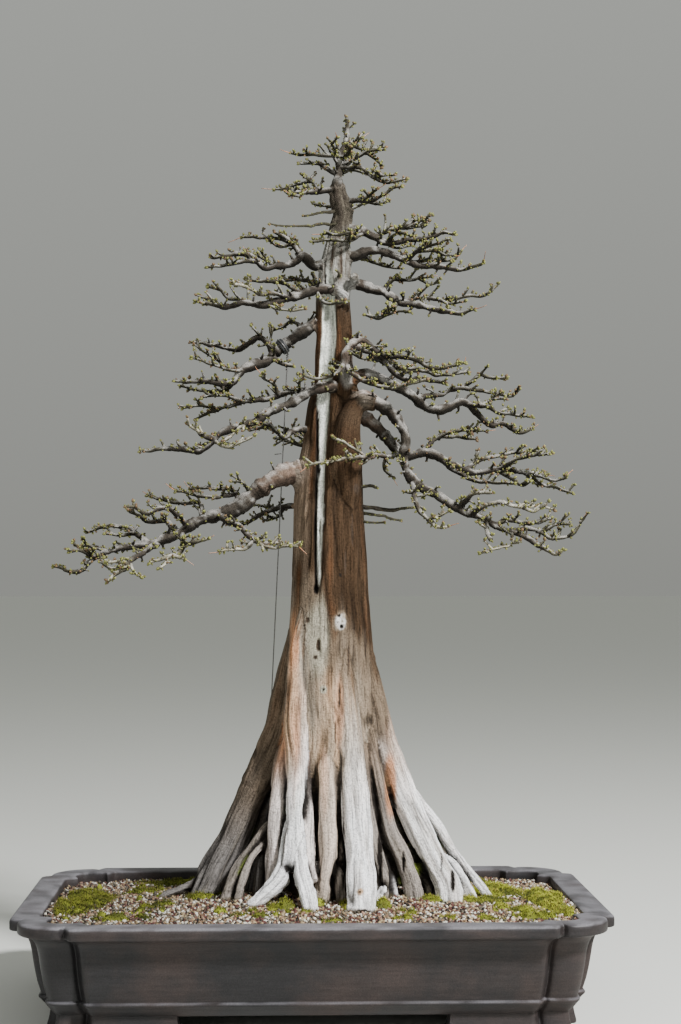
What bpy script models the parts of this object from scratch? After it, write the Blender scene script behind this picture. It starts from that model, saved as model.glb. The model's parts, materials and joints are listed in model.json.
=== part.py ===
"""A bald cypress bonsai, bare in early spring, in a lobed stoneware pot.

The frame is in metres with +Z up. The origin is the middle of the pot's footprint at the
level of its feet, X runs along the pot's length and -Y is the front of the tree.

Trunk, roots and limbs are drawn as a bonsai artist sketches a tree: on a grid seen straight
from the front, with x to the right of the trunk line, z above the soil and the depth y given
for each point. place() turns a grid point into a point of the tree, on its own line of sight.
"""

import math
import random

import bmesh
import bpy
import numpy as np
from mathutils import Vector

# Driving dimensions in metres
POT_LENGTH = 0.706
POT_DEPTH = 0.470
POT_HEIGHT = 0.130
FOOT_HEIGHT = 0.0218
RIM_WIDTH = 0.034
FLOOR = 0.0125
LOBE_RADIUS = 0.052
LOBE_SETBACK_X = 0.011
LOBE_SETBACK_Y = 0.009
NOTCH_WIDTH = 0.013
NOTCH_DEPTH = 0.017
NOTCH_DRIFT = 0.5
DRAIN_RADIUS = 0.014
DRAIN_X = 0.150
GAP = 0.0003

TRUNK_X = 0.0369
SOIL_LEVEL = POT_HEIGHT
GRID = 0.0012522
SKETCH_EYE = Vector((-0.0506, -2.473, POT_HEIGHT + 0.3984))

ROOT_HOLE_GAP = 0.0006
FLAT_ANGLE = 2.5
TWIG_CLEARANCE = 0.0012
BUD_LENGTH = 0.0050
SEED = 7

# The trunk's outline, as (height, left edge, right edge) on the grid
TRUNK_EDGES = [
    (-7, -54, 40), (50, -56, 40), (92, -56, 40), (132, -56, 40), (172, -56, 39),
    (212, -55, 36), (252, -53, 32), (292, -50, 28), (340, -47.5, 26), (392, -46.5, 23),
    (420, -43, 22), (448, -38, 20), (478, -34, 20), (492, -32, 23), (506, -26, 17),
    (532, -25, 12), (562, -24, 12), (592, -24, 10), (626, -21, 11), (652, -14, 10),
    (670, -10, 11), (680, -7, 13), (692, -11, 11), (702, -11, 6), (711, -10, 4),
]
TRUNK_AXIS_DEPTH = 12
TRUNK_SIDES = 18
TRUNK_ROUNDNESS = 0.92
SHARI_TURN = math.radians(-114)

# Roots, as (radius at the top, radius at the foot, points (x, z, y)) on the grid
ROOTS = [
    (11, 16, [(-36, 300, 12), (-46, 252, 11), (-51, 224, 10), (-57, 188, 9), (-63, 159, 8),
              (-74, 131, 8), (-84, 109, 8), (-97, 80, 7), (-109, 51, 6), (-122, 26, 5),
              (-137, -8, 3)]),
    (8, 12, [(-40, 240, 16), (-60, 150, 18), (-76, 85, 20), (-90, 32, 22), (-98, -10, 24)]),
    (7, 3, [(-124, 26, 10), (-150, 8, 4), (-172, 0, -2), (-182, -8, -6)]),
    (6, 7, [(-62, 88, -26), (-74, 64, -22), (-88, 44, -26), (-100, 26, -31), (-109, 6, -34),
            (-113, -10, -36)]),
    (5, 4, [(-64, 74, -28), (-76, 54, -26), (-90, 36, -34), (-99, 12, -42), (-104, -10, -45)]),
    (10, 8, [(-42, 192, -8), (-54, 142, -20), (-60, 102, -26), (-64, 62, -30), (-67, 30, -30),
             (-70, -10, -29)]),
    (9, 11, [(-34, 292, -10), (-42, 252, -20), (-44, 212, -26), (-45, 172, -30), (-43, 132, -34),
             (-43, 92, -38), (-44, 52, -44), (-48, 30, -50)]),
    (11, 6, [(-48, 36, -46), (-60, 13, -56), (-76, 0, -62), (-90, -14, -69)]),
    (11, 7, [(-42, 36, -48), (-37, 14, -70), (-32, -3, -86), (-28, -26, -101)]),
    (10, 7, [(-15, 235, -18), (-14, 162, -35), (-12, 112, -42), (-11, 72, -48), (-11, 36, -52),
             (-15, 12, -52), (-17, -14, -53)]),
    (6, 5, [(-7, 40, -50), (-2, 14, -53), (-1, -12, -56)]),
    (9, 13, [(1, 290, -14), (4, 232, -26), (7, 192, -32), (10, 152, -36), (13, 112, -42),
             (16, 72, -52), (19, 32, -64), (21, 7, -82), (21, -22, -99)]),
    (5, 7, [(42, 84, -27), (41, 50, -24), (46, 27, -26), (50, 8, -28), (50, -12, -31)]),
    (4, 3, [(46, 12, -28), (40, 0, -56), (34, -8, -76), (27, -26, -92)]),
    (6, 10, [(24, 190, -12), (34, 132, -23), (41, 92, -28), (48, 62, -28), (60, 37, -28),
             (70, 14, -31), (75, -12, -35)]),
    (7, 4, [(66, 34, -26), (83, 12, -24), (94, -8, -27)]),
    (9, 13, [(22, 262, 2), (34, 212, -6), (45, 152, -12), (57, 112, -16), (69, 82, -18),
             (83, 52, -22), (96, 27, -28), (107, 7, -37), (109, -16, -46)]),
    (8, 6, [(102, 38, -18), (121, 12, -22), (133, -10, -27)]),
    (6, 4, [(56, 128, -10), (78, 92, -6), (96, 69, -4), (107, 51, -7), (121, 30, -12),
            (134, 14, -15), (145, 1, -18), (151, -14, -20)]),
    (4, 4, [(84, 84, -4), (98, 62, 5), (114, 40, 9), (128, 22, 12), (140, 4, 15), (146, -9, 16)]),
    (9, 10, [(30, 180, 4), (56, 110, 6), (80, 70, 8), (98, 38, 12), (112, 10, 16), (118, -12, 18)]),
    (8, 8, [(26, 150, -4), (40, 110, -4), (58, 70, -6), (74, 38, -8), (86, 10, -10),
            (90, -12, -10)]),
]
# Roots at the back, as (turn from the front in degrees, reach in metres, radius at the foot)
BACK_ROOTS = [(110, 0.165, 10), (132, 0.150, 13), (154, 0.140, 9), (176, 0.150, 12),
              (198, 0.135, 9), (220, 0.150, 12)]
BACK_ROOT_HEIGHT = 0.25

# Scars and knots on the trunk, as (radius, (x, z, y))
KNOTS = [(7, (0, 270, -24)), (4, (-17, 203, -32)), (8, (10, 617, 2)), (4, (27, 286, 6)),
         (4, (34, 234, 6)), (10, (11, 490, -12))]

# Shoots straight from the trunk, as (root radius, tip radius, points)
TRUNK_SHOOTS = [
    (1.4, 0.8, [(-4, 683, 8), (-20, 681, 0), (-37, 678, -6)]),
    (1.2, 0.6, [(-4, 670, 6), (-24, 669, -4), (-41, 667, -10), (-70, 669, -18)]),
    (2.4, 1.0, [(18, 386, 8), (36, 384, 2), (52, 382, -2), (73, 385, -6)]),
    (1.4, 0.8, [(18, 379, 14), (40, 377, 22), (50, 373, 26), (60, 372, 30)]),
    (1.6, 1.2, [(14, 405, 4), (30, 407, -2), (36, 405, -6)]),
    (1.3, 0.8, [(16, 371, 6), (34, 370, -4), (44, 370, -8)]),
    (1.2, 0.7, [(-2, 617, 0), (0, 618, -22), (-4, 622, -28)]),
]

# Limbs. The first route of each starts inside the trunk, leaves its collar at the second
# point and has radii at its start, middle and end. The others branch off and taper evenly.
LIMBS = {
    "crown": [
        (5.6, 3.2, 1.0, [(-3, 704, 10), (-3, 713, 10), (-1, 726, 12), (1, 740, 12),
                         (3, 747, 12), (6, 754, 12), (7, 764, 12), (6, 778, 12)]),
        (1.5, 0.9, [(0, 739, 12), (-15, 739, 6), (-32, 740, 2), (-49, 741, -2)]),
        (2.4, 0.9, [(-3, 720, 11), (-15, 727, 18), (-23, 731, 24), (-42, 731, 34)]),
        (2.0, 0.9, [(0, 728, 12), (20, 739, 4), (30, 744, 0), (44, 746, -2)]),
        (1.1, 0.8, [(27, 742, 1), (36, 735, 0), (43, 729, -2)]),
        (1.7, 0.8, [(2, 743, 12), (12, 751, 16), (21, 757, 20)]),
        (1.2, 0.8, [(11, 750, 16), (20, 746, 24), (30, 746, 30), (44, 748, 36)]),
        (1.2, 0.8, [(0, 741, 12), (-8, 750, 6), (-4, 756, 2)]),
        (1.8, 0.9, [(-1, 727, 11), (18, 728, 0), (28, 722, -8), (36, 716, -12),
                    (48, 712, -16), (65, 716, -20)]),
        (1.0, 0.8, [(34, 717, -11), (43, 719, -18), (53, 721, -22)]),
        (1.3, 0.8, [(-2, 720, 12), (13, 724, 22), (32, 719, 30)]),
        (1.8, 0.9, [(-2, 728, 12), (-8, 742, 34), (-14, 750, 50)]),
        (1.5, 0.9, [(1, 736, 12), (6, 740, -12), (10, 748, -28)]),
    ],
    "limb_left_1": [
        (3.2, 2.0, 0.9, [(-4, 704, 10), (-15, 704, 7), (-28, 702, 0), (-40, 702, -4),
                         (-50, 703, -6), (-65, 705, -8)]),
        (1.4, 0.8, [(-20, 703, 4), (-26, 710, 12), (-32, 714, 18), (-38, 719, 22)]),
        (1.1, 0.8, [(-31, 713, 17), (-42, 710, 24), (-54, 707, 30)]),
        (1.2, 0.8, [(-34, 702, -2), (-44, 698, -16), (-50, 700, -30)]),
    ],
    "limb_right_1": [
        (2.8, 1.6, 0.8, [(2, 692, 10), (15, 694, 8), (31, 694, 6), (44, 700, 4),
                         (51, 705, 2), (60, 709, 0)]),
        (1.1, 0.8, [(26, 694, 7), (38, 690, 24), (48, 694, 38)]),
        (1.1, 0.8, [(22, 694, 7), (30, 700, -10), (38, 706, -22)]),
    ],
    "limb_right_2": [
        (5.2, 3.0, 1.0, [(2, 665, 8), (15, 664, 6), (24, 662, 4), (36, 656, 0), (46, 651, -2),
                         (57, 652, -4), (70, 655, -6), (86, 656, -8), (104, 662, -10),
                         (114, 661, -12)]),
        (2.0, 0.9, [(34, 657, 0), (44, 662, 8), (58, 666, 14), (72, 672, 20), (92, 680, 28)]),
        (1.2, 0.8, [(56, 666, 13), (72, 667, 24), (86, 669, 32), (90, 674, 38)]),
        (1.4, 0.8, [(48, 651, -2), (54, 660, -12), (64, 661, -20), (74, 658, -26)]),
        (1.2, 0.8, [(46, 651, -2), (56, 646, 6), (70, 648, 14)]),
        (1.6, 0.8, [(19, 662, 2), (10, 661, -12), (-4, 659, -20), (-18, 660, -24)]),
        (1.4, 0.8, [(22, 660, 2), (8, 653, -14), (-8, 654, -22), (-28, 652, -28)]),
    ],
    "limb_right_3": [
        (5.2, 3.6, 0.9, [(2, 635, 10), (17, 638, 6), (28, 643, 2), (40, 643, 0), (52, 639, -2),
                         (62, 635, -4), (69, 632, -5), (82, 628, -6), (96, 628, -8),
                         (125, 625, -10), (144, 631, -14)]),
        (1.9, 0.9, [(66, 633, -5), (76, 642, -14), (86, 647, -20), (97, 651, -26),
                    (110, 655, -30)]),
        (1.2, 0.8, [(76, 642, -14), (90, 644, -6), (102, 641, 0), (114, 638, 4)]),
        (1.3, 0.7, [(70, 632, -5), (90, 634, 4), (112, 634, 12), (121, 643, 16)]),
        (1.5, 0.9, [(24, 640, 3), (30, 632, 20), (48, 627, 30), (62, 625, 34)]),
    ],
    "limb_left_2": [
        (5.4, 3.2, 1.1, [(-12, 627, 8), (-27, 628, 5), (-37, 637, 2), (-44, 632, -2),
                         (-54, 628, -6), (-64, 627, -8), (-75, 625, -10), (-84, 632, -12),
                         (-92, 638, -14), (-104, 639, -16), (-118, 636, -18), (-130, 636, -20)]),
        (2.8, 1.0, [(-37, 636, 2), (-48, 649, 8), (-56, 656, 12), (-65, 661, 16)]),
        (1.6, 0.9, [(-52, 652, 10), (-62, 655, 20), (-76, 656, 26), (-99, 656, 34)]),
        (1.2, 0.8, [(-48, 649, 8), (-62, 647, 2), (-72, 653, -2)]),
        (1.9, 0.9, [(-84, 632, -12), (-94, 632, -22), (-106, 629, -28), (-120, 627, -32),
                    (-133, 625, -34)]),
        (1.4, 0.8, [(-68, 627, -9), (-74, 634, 4), (-82, 637, 14), (-94, 640, 22)]),
    ],
    "limb_left_3": [
        (4.8, 4.0, 1.0, [(-4, 603, -2), (-10, 604, -13), (-22, 604, -23), (-32, 601, -27),
                         (-42, 597, -30), (-52, 595, -32), (-64, 591, -34), (-76, 588, -36),
                         (-88, 589, -38), (-100, 590, -40), (-112, 586, -42), (-136, 589, -44),
                         (-145, 592, -46)]),
        (1.8, 0.9, [(-38, 599, -29), (-54, 608, -22), (-66, 611, -16), (-80, 612, -12),
                    (-95, 614, -8)]),
        (1.9, 0.9, [(-52, 595, -32), (-66, 600, -44), (-80, 599, -52), (-96, 606, -62),
                    (-108, 609, -66)]),
        (1.5, 0.9, [(-86, 589, -38), (-98, 593, -30), (-111, 594, -24), (-120, 602, -20),
                    (-131, 606, -16)]),
        (1.1, 0.8, [(-124, 587, -43), (-133, 593, -36), (-140, 596, -32)]),
        (1.2, 0.8, [(-74, 588, -36), (-62, 584, -42), (-48, 582, -46), (-37, 584, -48)]),
        (1.4, 0.9, [(-24, 602, -24), (-18, 592, -34), (-8, 590, -38), (4, 592, -42)]),
    ],
    "limb_right_4": [
        (5.4, 4.2, 1.0, [(6, 610, 8), (22, 608, 4), (33, 604, 2), (43, 602, 0),
                         (52, 596, -2), (60, 591, -4), (70, 590, -5), (82, 588, -6),
                         (96, 584, -8), (119, 581, -10), (135, 584, -13)]),
        (1.9, 0.9, [(42, 602, 0), (48, 610, 8), (56, 614, 12), (70, 614, 16), (90, 618, 22)]),
        (1.1, 0.8, [(78, 616, 19), (88, 610, 26), (97, 611, 30)]),
        (1.9, 0.9, [(62, 591, -4), (76, 596, 6), (90, 596, 12), (103, 594, 16), (131, 598, 24),
                    (145, 598, 26), (158, 609, 30)]),
        (1.2, 0.8, [(98, 595, 14), (110, 590, 8), (124, 592, 4)]),
        (1.7, 1.1, [(57, 592, -3), (52, 582, -10), (44, 577, -14), (37, 575, -16),
                    (25, 578, -18)]),
        (1.1, 0.8, [(43, 577, -14), (56, 582, -24), (67, 582, -28)]),
    ],
    "limb_left_4": [
        (6.2, 5.4, 0.9, [(-16, 574, 12), (-30, 566, 11), (-50, 552, 10), (-66, 540, 8),
                         (-70, 534, 4), (-78, 530, -1), (-88, 527, -6),
                         (-98, 522, -10), (-104, 515, -11), (-110, 509, -12), (-130, 510, -16),
                         (-143, 511, -18), (-165, 511, -22)]),
        (3.6, 0.9, [(-67, 539, 7), (-72, 549, 12), (-82, 555, 16), (-92, 549, 18),
                    (-103, 543, 22), (-115, 545, 24), (-150, 551, 30)]),
        (1.7, 0.9, [(-36, 562, 11), (-43, 569, 20), (-50, 572, 28), (-58, 566, 36),
                    (-68, 562, 42)]),
        (1.6, 0.9, [(-103, 515, -11), (-112, 505, -4), (-122, 500, 0), (-142, 502, 8),
                    (-160, 506, 14)]),
        (1.4, 0.7, [(-96, 522, -10), (-112, 522, -22), (-124, 526, -28), (-148, 534, -36)]),
        (1.1, 0.6, [(-110, 522, -20), (-120, 530, -16), (-130, 536, -14), (-146, 547, -12)]),
        (2.4, 1.4, [(-69, 536, 5), (-60, 530, -3), (-48, 527, -9)]),
    ],
    "limb_right_5": [
        (5.6, 4.4, 3.6, 2.2, 1.2, [(4, 508, 2), (5, 521, -14), (5, 531, -19), (6, 541, -20), (12, 549, -18),
                         (20, 553, -14), (28, 549, -12), (36, 541, -12), (44, 533, -13),
                         (51, 524, -15), (58, 517, -18), (66, 514, -20), (78, 514, -22),
                         (92, 512, -24), (106, 510, -26)]),
        (2.2, 0.9, [(37, 540, -12), (50, 537, -18), (64, 536, -24), (77, 533, -28),
                    (86, 527, -32), (100, 525, -36), (124, 530, -42)]),
        (1.6, 0.9, [(50, 525, -15), (62, 525, -6), (78, 524, -2), (90, 520, 0), (100, 518, 2),
                    (128, 521, 6)]),
        (1.9, 0.9, [(6, 529, -19), (12, 519, -30), (24, 512, -36), (38, 507, -40), (52, 505, -42),
                    (66, 508, -44), (86, 513, -48)]),
        (1.6, 0.9, [(4, 529, -19), (-3, 520, -31), (-14, 515, -38), (-26, 514, -44),
                    (-38, 517, -48)]),
        (1.0, 0.7, [(8, 544, -19), (22, 534, -30), (36, 537, -34)]),
    ],
    "limb_right_6": [
        (6.0, 5.0, 1.0, [(6, 513, 10), (25, 518, 8), (35, 516, 5), (46, 511, 4), (58, 505, 4),
                         (68, 500, 5), (76, 494, 6), (84, 487, 7), (96, 483, 8), (108, 485, 9),
                         (120, 491, 10), (128, 489, 12), (136, 481, 14), (144, 473, 16),
                         (152, 467, 18), (163, 469, 20), (180, 461, 23), (193, 464, 25)]),
        (2.2, 0.9, [(126, 489, 12), (144, 487, 2), (152, 485, -4), (160, 480, -8),
                    (192, 477, -16)]),
        (2.2, 0.9, [(74, 495, 6), (86, 497, 16), (100, 498, 22), (112, 503, 26), (124, 505, 28),
                    (160, 499, 32), (172, 497, 34), (180, 504, 36)]),
        (1.5, 0.9, [(122, 505, 28), (134, 514, 34), (141, 519, 38), (150, 516, 42),
                    (166, 516, 46)]),
        (1.2, 0.8, [(142, 487, 4), (152, 493, 10), (166, 494, 16)]),
        (1.8, 0.9, [(45, 511, 4), (56, 518, 20), (74, 522, 34), (96, 524, 44)]),
    ],
    "limb_right_low": [
        (8.2, 5.4, 4.4, 2.8, 1.0, [
                         (2, 492, -2), (25, 495, -13), (36, 490, -16), (46, 484, -18),
                         (54, 477, -20), (60, 469, -22), (64, 461, -24), (66, 451, -26),
                         (65, 441, -27), (64, 432, -28), (67, 421, -29), (74, 411, -30),
                         (83, 404, -32), (96, 398, -34), (108, 390, -36), (119, 383, -38),
                         (131, 378, -39), (144, 374, -40), (156, 366, -42), (170, 361, -43),
                         (183, 357, -44), (196, 349, -46), (208, 342, -48), (217, 338, -49),
                         (223, 342, -50)]),
        (2.4, 0.9, [(72, 412, -30), (75, 393, -42), (80, 381, -47), (91, 369, -52),
                    (98, 365, -54), (107, 365, -56)]),
        (1.3, 0.8, [(87, 373, -50), (100, 377, -58), (109, 381, -62)]),
        (1.4, 0.9, [(74, 400, -38), (64, 401, -44)]),
        (2.4, 1.1, [(118, 384, -38), (126, 392, -46), (134, 399, -50), (152, 400, -52)]),
        (2.2, 0.9, [(132, 377, -39), (142, 386, -56), (156, 390, -64), (165, 390, -68),
                    (175, 386, -72), (186, 385, -76), (194, 391, -80)]),
        (1.2, 0.7, [(184, 385, -75), (194, 381, -82), (204, 386, -86), (214, 383, -90)]),
        (2.2, 0.9, [(154, 367, -42), (166, 372, -32), (176, 371, -26), (190, 368, -20),
                    (202, 371, -16), (211, 374, -12)]),
        (2.0, 0.7, [(170, 361, -43), (186, 364, -36), (200, 362, -32), (219, 368, -24),
                    (231, 368, -20)]),
        (1.5, 0.8, [(198, 362, -33), (213, 354, -28), (232, 358, -20), (240, 366, -16),
                    (243, 372, -14)]),
        (2.0, 1.4, [(146, 373, -41), (148, 360, -50), (151, 352, -56)]),
        (1.2, 0.6, [(172, 361, -43), (173, 350, -52), (166, 346, -56), (141, 339, -60)]),
    ],
    "limb_right_7": [
        (7.0, 4.6, 1.1, [(8, 480, 8), (22, 476, 4), (32, 469, 0), (40, 462, -3), (47, 454, -4),
                         (53, 446, -5), (60, 440, -5), (70, 437, -6), (84, 440, -8),
                         (96, 437, -8), (108, 430, -8), (120, 425, -6), (132, 420, -4),
                         (146, 421, -2), (160, 423, 0), (186, 421, 4), (206, 417, 8)]),
        (2.0, 0.9, [(78, 439, -8), (90, 448, -2), (98, 455, 4), (110, 456, 8), (136, 454, 14)]),
        (1.3, 0.8, [(98, 454, 4), (106, 459, -2), (118, 462, -6), (138, 463, -10)]),
        (1.3, 0.8, [(112, 456, 8), (118, 462, 18), (132, 462, 26), (146, 462, 32)]),
        (1.8, 0.9, [(126, 422, -5), (140, 432, 6), (164, 438, 14), (180, 440, 18),
                    (199, 442, 22)]),
        (1.5, 0.9, [(158, 423, 0), (172, 431, -8), (184, 435, -12), (212, 440, -20)]),
        (1.4, 0.9, [(156, 422, -1), (170, 415, -12), (182, 407, -18), (190, 411, -22)]),
        (1.5, 0.9, [(186, 420, 4), (196, 413, 10), (204, 407, 14), (214, 406, 18),
                    (232, 400, 22)]),
        (1.2, 0.8, [(196, 418, 6), (210, 413, -2), (222, 413, -6), (227, 416, -8)]),
        (2.0, 0.9, [(102, 433, -8), (112, 424, -18), (124, 417, -24), (136, 412, -28),
                    (152, 410, -32), (174, 409, -36)]),
        (2.0, 0.9, [(60, 440, -5), (48, 436, -14), (40, 437, -22), (30, 436, -32),
                    (22, 428, -40)]),
        (1.5, 0.9, [(34, 436, -28), (20, 435, -42), (5, 434, -50), (-10, 432, -54),
                    (-32, 427, -58)]),
        (1.3, 0.8, [(28, 434, -34), (14, 443, -46), (4, 450, -52), (-7, 455, -56)]),
        (1.3, 0.8, [(46, 436, -15), (44, 424, -16), (52, 416, -14)]),
    ],
    "limb_left_5": [
        (5.6, 4.0, 0.9, [(-2, 506, -2), (-12, 506, -19), (-22, 504, -26), (-32, 500, -30),
                         (-42, 493, -33), (-54, 487, -36), (-66, 483, -38), (-76, 478, -40),
                         (-84, 471, -42), (-96, 468, -44), (-108, 464, -46), (-120, 459, -48),
                         (-128, 450, -50), (-136, 444, -48), (-144, 441, -46), (-158, 443, -44),
                         (-186, 442, -40), (-200, 441, -38)]),
        (2.6, 0.9, [(-126, 453, -50), (-138, 457, -56), (-145, 462, -60), (-152, 467, -62)]),
        (2.8, 0.9, [(-30, 501, -29), (-44, 502, -22), (-60, 498, -16), (-72, 493, -12),
                    (-84, 492, -8), (-98, 490, -6), (-112, 486, -2), (-124, 482, 0),
                    (-144, 474, 4)]),
        (1.3, 0.8, [(-96, 490, -6), (-110, 495, -14), (-124, 497, -20), (-138, 495, -24)]),
        (1.2, 0.9, [(-122, 482, 0), (-138, 486, -8), (-157, 484, -12)]),
        (1.3, 0.8, [(-62, 497, -16), (-66, 508, -20), (-72, 511, -24), (-78, 517, -28)]),
        (1.1, 0.8, [(-40, 502, -24), (-42, 510, -36), (-38, 514, -42)]),
        (1.1, 0.7, [(-96, 468, -44), (-108, 458, -56), (-116, 452, -62)]),
        (1.3, 0.9, [(-126, 451, -50), (-116, 445, -60), (-105, 447, -66), (-87, 456, -72)]),
    ],
    "limb_left_6": [
        (3.2, 2.0, 0.9, [(-26, 462, 6), (-42, 463, -2), (-50, 460, -6), (-56, 454, -10),
                         (-63, 460, -12), (-70, 467, -13), (-78, 466, -14), (-90, 462, -14)]),
        (1.2, 0.8, [(-72, 467, -13), (-84, 463, -2), (-95, 463, 6)]),
    ],
    "limb_left_low": [
        (11.0, 8.2, 5.2, 2.8, 1.0, [(-26, 424, 9), (-48, 420, 4), (-62, 415, -2), (-74, 408, -4),
                          (-86, 399, -3), (-98, 388, -6), (-110, 381, -8), (-124, 377, -10),
                          (-138, 373, -12), (-150, 367, -14), (-162, 358, -16), (-176, 353, -18),
                          (-190, 348, -20), (-205, 346, -21), (-220, 344, -22), (-232, 340, -23),
                          (-242, 336, -24), (-250, 330, -25), (-257, 322, -26), (-266, 321, -27),
                          (-276, 323, -28), (-284, 326, -30)]),
        (2.4, 0.9, [(-102, 387, -7), (-103, 396, 0), (-108, 402, 6), (-118, 404, 12),
                    (-150, 404, 20)]),
        (1.6, 0.9, [(-105, 398, 2), (-125, 395, -12), (-140, 396, -16), (-163, 401, -24)]),
        (1.3, 0.8, [(-90, 398, -4), (-96, 408, -12), (-108, 411, -18)]),
        (1.9, 0.9, [(-137, 373, -12), (-139, 386, -4), (-144, 390, 2), (-154, 389, 6),
                    (-168, 390, 10), (-192, 396, 16)]),
        (2.8, 1.0, [(-152, 366, -14), (-164, 378, -24), (-172, 384, -30), (-182, 383, -34),
                    (-196, 378, -38), (-204, 384, -42), (-213, 385, -44)]),
        (2.6, 1.0, [(-160, 359, -16), (-168, 364, -8), (-174, 371, -2), (-192, 370, 8),
                    (-200, 376, 12), (-210, 380, 16)]),
        (2.8, 0.9, [(-190, 348, -20), (-202, 357, -12), (-210, 363, -6), (-230, 366, 4),
                    (-252, 360, 12)]),
        (1.4, 0.8, [(-205, 359, -10), (-216, 357, -20), (-234, 358, -30)]),
        (1.5, 1.0, [(-232, 340, -23), (-246, 346, -14), (-258, 346, -8)]),
        (1.6, 1.0, [(-244, 334, -24), (-254, 340, -34), (-262, 342, -40), (-269, 341, -44)]),
        (1.4, 0.9, [(-240, 337, -24), (-236, 329, -36), (-228, 322, -42)]),
        (3.2, 1.0, [(-184, 349, -19), (-196, 340, -34), (-206, 334, -44), (-213, 326, -50),
                    (-222, 319, -56), (-232, 311, -60)]),
        (1.3, 0.8, [(-211, 328, -49), (-222, 330, -58), (-232, 330, -64)]),
        (1.2, 0.8, [(-210, 328, -48), (-204, 319, -58), (-200, 316, -64)]),
        (2.4, 0.9, [(-158, 359, -16), (-157, 347, -32), (-160, 340, -42), (-170, 336, -50),
                    (-190, 330, -60)]),
        (1.8, 1.1, [(-157, 348, -30), (-150, 348, -42), (-140, 351, -50), (-132, 353, -54)]),
        (1.2, 0.9, [(-172, 335, -51), (-176, 328, -62), (-180, 324, -66)]),
        (1.2, 0.9, [(-168, 337, -48), (-156, 333, -56)]),
        (3.2, 0.9, [(-120, 377, -10), (-112, 370, -30), (-102, 367, -42), (-94, 359, -50),
                    (-86, 352, -56), (-78, 348, -60), (-65, 349, -62), (-42, 346, -66)]),
        (1.5, 0.9, [(-87, 352, -55), (-96, 343, -60), (-112, 343, -68), (-119, 341, -72)]),
        (1.3, 0.9, [(-84, 351, -57), (-76, 345, -70), (-62, 344, -76), (-52, 347, -80)]),
    ],
    "limb_left_rear": [
        (2.8, 1.8, 0.9, [(-34, 386, 22), (-53, 386, 30), (-68, 382, 38), (-80, 377, 46),
                         (-92, 371, 56), (-102, 367, 68), (-110, 368, 84)]),
        (1.3, 0.8, [(-64, 383, 36), (-74, 386, 50), (-88, 388, 60), (-98, 386, 68)]),
        (1.3, 0.8, [(-56, 385, 31), (-62, 376, 42), (-72, 372, 52), (-78, 373, 60)]),
    ],
    "limb_back_1": [
        (3.6, 2.4, 0.9, [(-2, 676, 14), (2, 679, 28), (6, 683, 46), (4, 686, 64), (-4, 690, 84),
                         (-8, 696, 100)]),
        (1.5, 0.8, [(5, 683, 44), (18, 688, 58), (30, 692, 72)]),
        (1.5, 0.8, [(5, 685, 58), (-12, 688, 70), (-26, 690, 84)]),
    ],
    "limb_back_2": [
        (4.8, 3.2, 0.9, [(-8, 596, 16), (-12, 601, 32), (-18, 605, 52), (-24, 606, 76),
                         (-28, 600, 100), (-38, 604, 122), (-44, 610, 142)]),
        (2.0, 0.9, [(-16, 604, 46), (-30, 611, 62), (-46, 614, 80), (-60, 612, 96)]),
        (2.0, 0.9, [(-24, 606, 72), (-8, 610, 90), (4, 608, 108), (10, 612, 124)]),
        (1.4, 0.8, [(-28, 600, 98), (-44, 594, 108), (-58, 592, 122)]),
    ],
    "limb_back_3": [
        (5.4, 3.6, 0.9, [(0, 538, 20), (6, 542, 38), (18, 546, 58), (30, 542, 82), (36, 534, 104),
                         (48, 536, 128), (56, 542, 148)]),
        (2.2, 0.9, [(16, 545, 54), (30, 540, 68), (42, 534, 84), (54, 530, 100)]),
        (2.2, 0.9, [(29, 542, 80), (16, 548, 98), (2, 546, 116), (-6, 550, 134)]),
        (1.4, 0.8, [(37, 534, 106), (52, 526, 116), (66, 526, 132)]),
    ],
    "limb_back_4": [
        (6.4, 4.2, 0.9, [(-12, 446, 26), (-16, 452, 46), (-22, 457, 66), (-30, 450, 90),
                         (-34, 452, 114), (-42, 458, 138), (-48, 466, 160)]),
        (2.4, 0.9, [(-20, 456, 60), (-38, 462, 76), (-58, 460, 92), (-74, 464, 108)]),
        (2.4, 0.9, [(-29, 450, 88), (-14, 456, 106), (0, 452, 124), (8, 456, 144)]),
        (1.5, 0.8, [(-34, 446, 112), (-50, 450, 122), (-64, 454, 138)]),
    ],
}

# The guy wire: a ring round the pad on the left limb, then straight down behind the left root
WIRE_RADIUS = 0.0007
WIRE_TOP = (-54.5, 538, 9)
WIRE_FOOT = (-78, -7, 48)
PAD_SPAN = [(-50, 552, 10), (-66, 540, 8)]
PAD_WIDTH = 0.0076
PAD_WALL = 0.0020

# Moss on the soil, as (name, centre x, centre y, half length along x, half length along y)
MOSS_PADS = [
    ("moss_right", 0.285, -0.035, 0.021, 0.106),
    ("moss_left", -0.274, -0.005, 0.034, 0.135),
    ("moss_back_right", 0.187, 0.157, 0.066, 0.024),
    ("moss_back_left", -0.150, 0.164, 0.090, 0.022),
    ("moss_front", 0.104, -0.168, 0.014, 0.010),
]


def place(point):
    """A grid point as a point of the tree: depth moves it along its line of sight."""
    x, z, y = point
    flat = Vector((TRUNK_X + x * GRID, 0.0, SOIL_LEVEL + z * GRID))
    return SKETCH_EYE + (flat - SKETCH_EYE) * (1 + y * GRID / -SKETCH_EYE.y)


def clear_scene():
    for obj in list(bpy.data.objects):
        bpy.data.objects.remove(obj, do_unlink=True)


def finish(name, colour, roughness, metallic=0.0):
    material = bpy.data.materials.new(name)
    material.use_nodes = True
    surface = material.node_tree.nodes["Principled BSDF"]
    surface.inputs["Base Color"].default_value = (*colour, 1.0)
    surface.inputs["Roughness"].default_value = roughness
    surface.inputs["Metallic"].default_value = metallic
    return material


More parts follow.
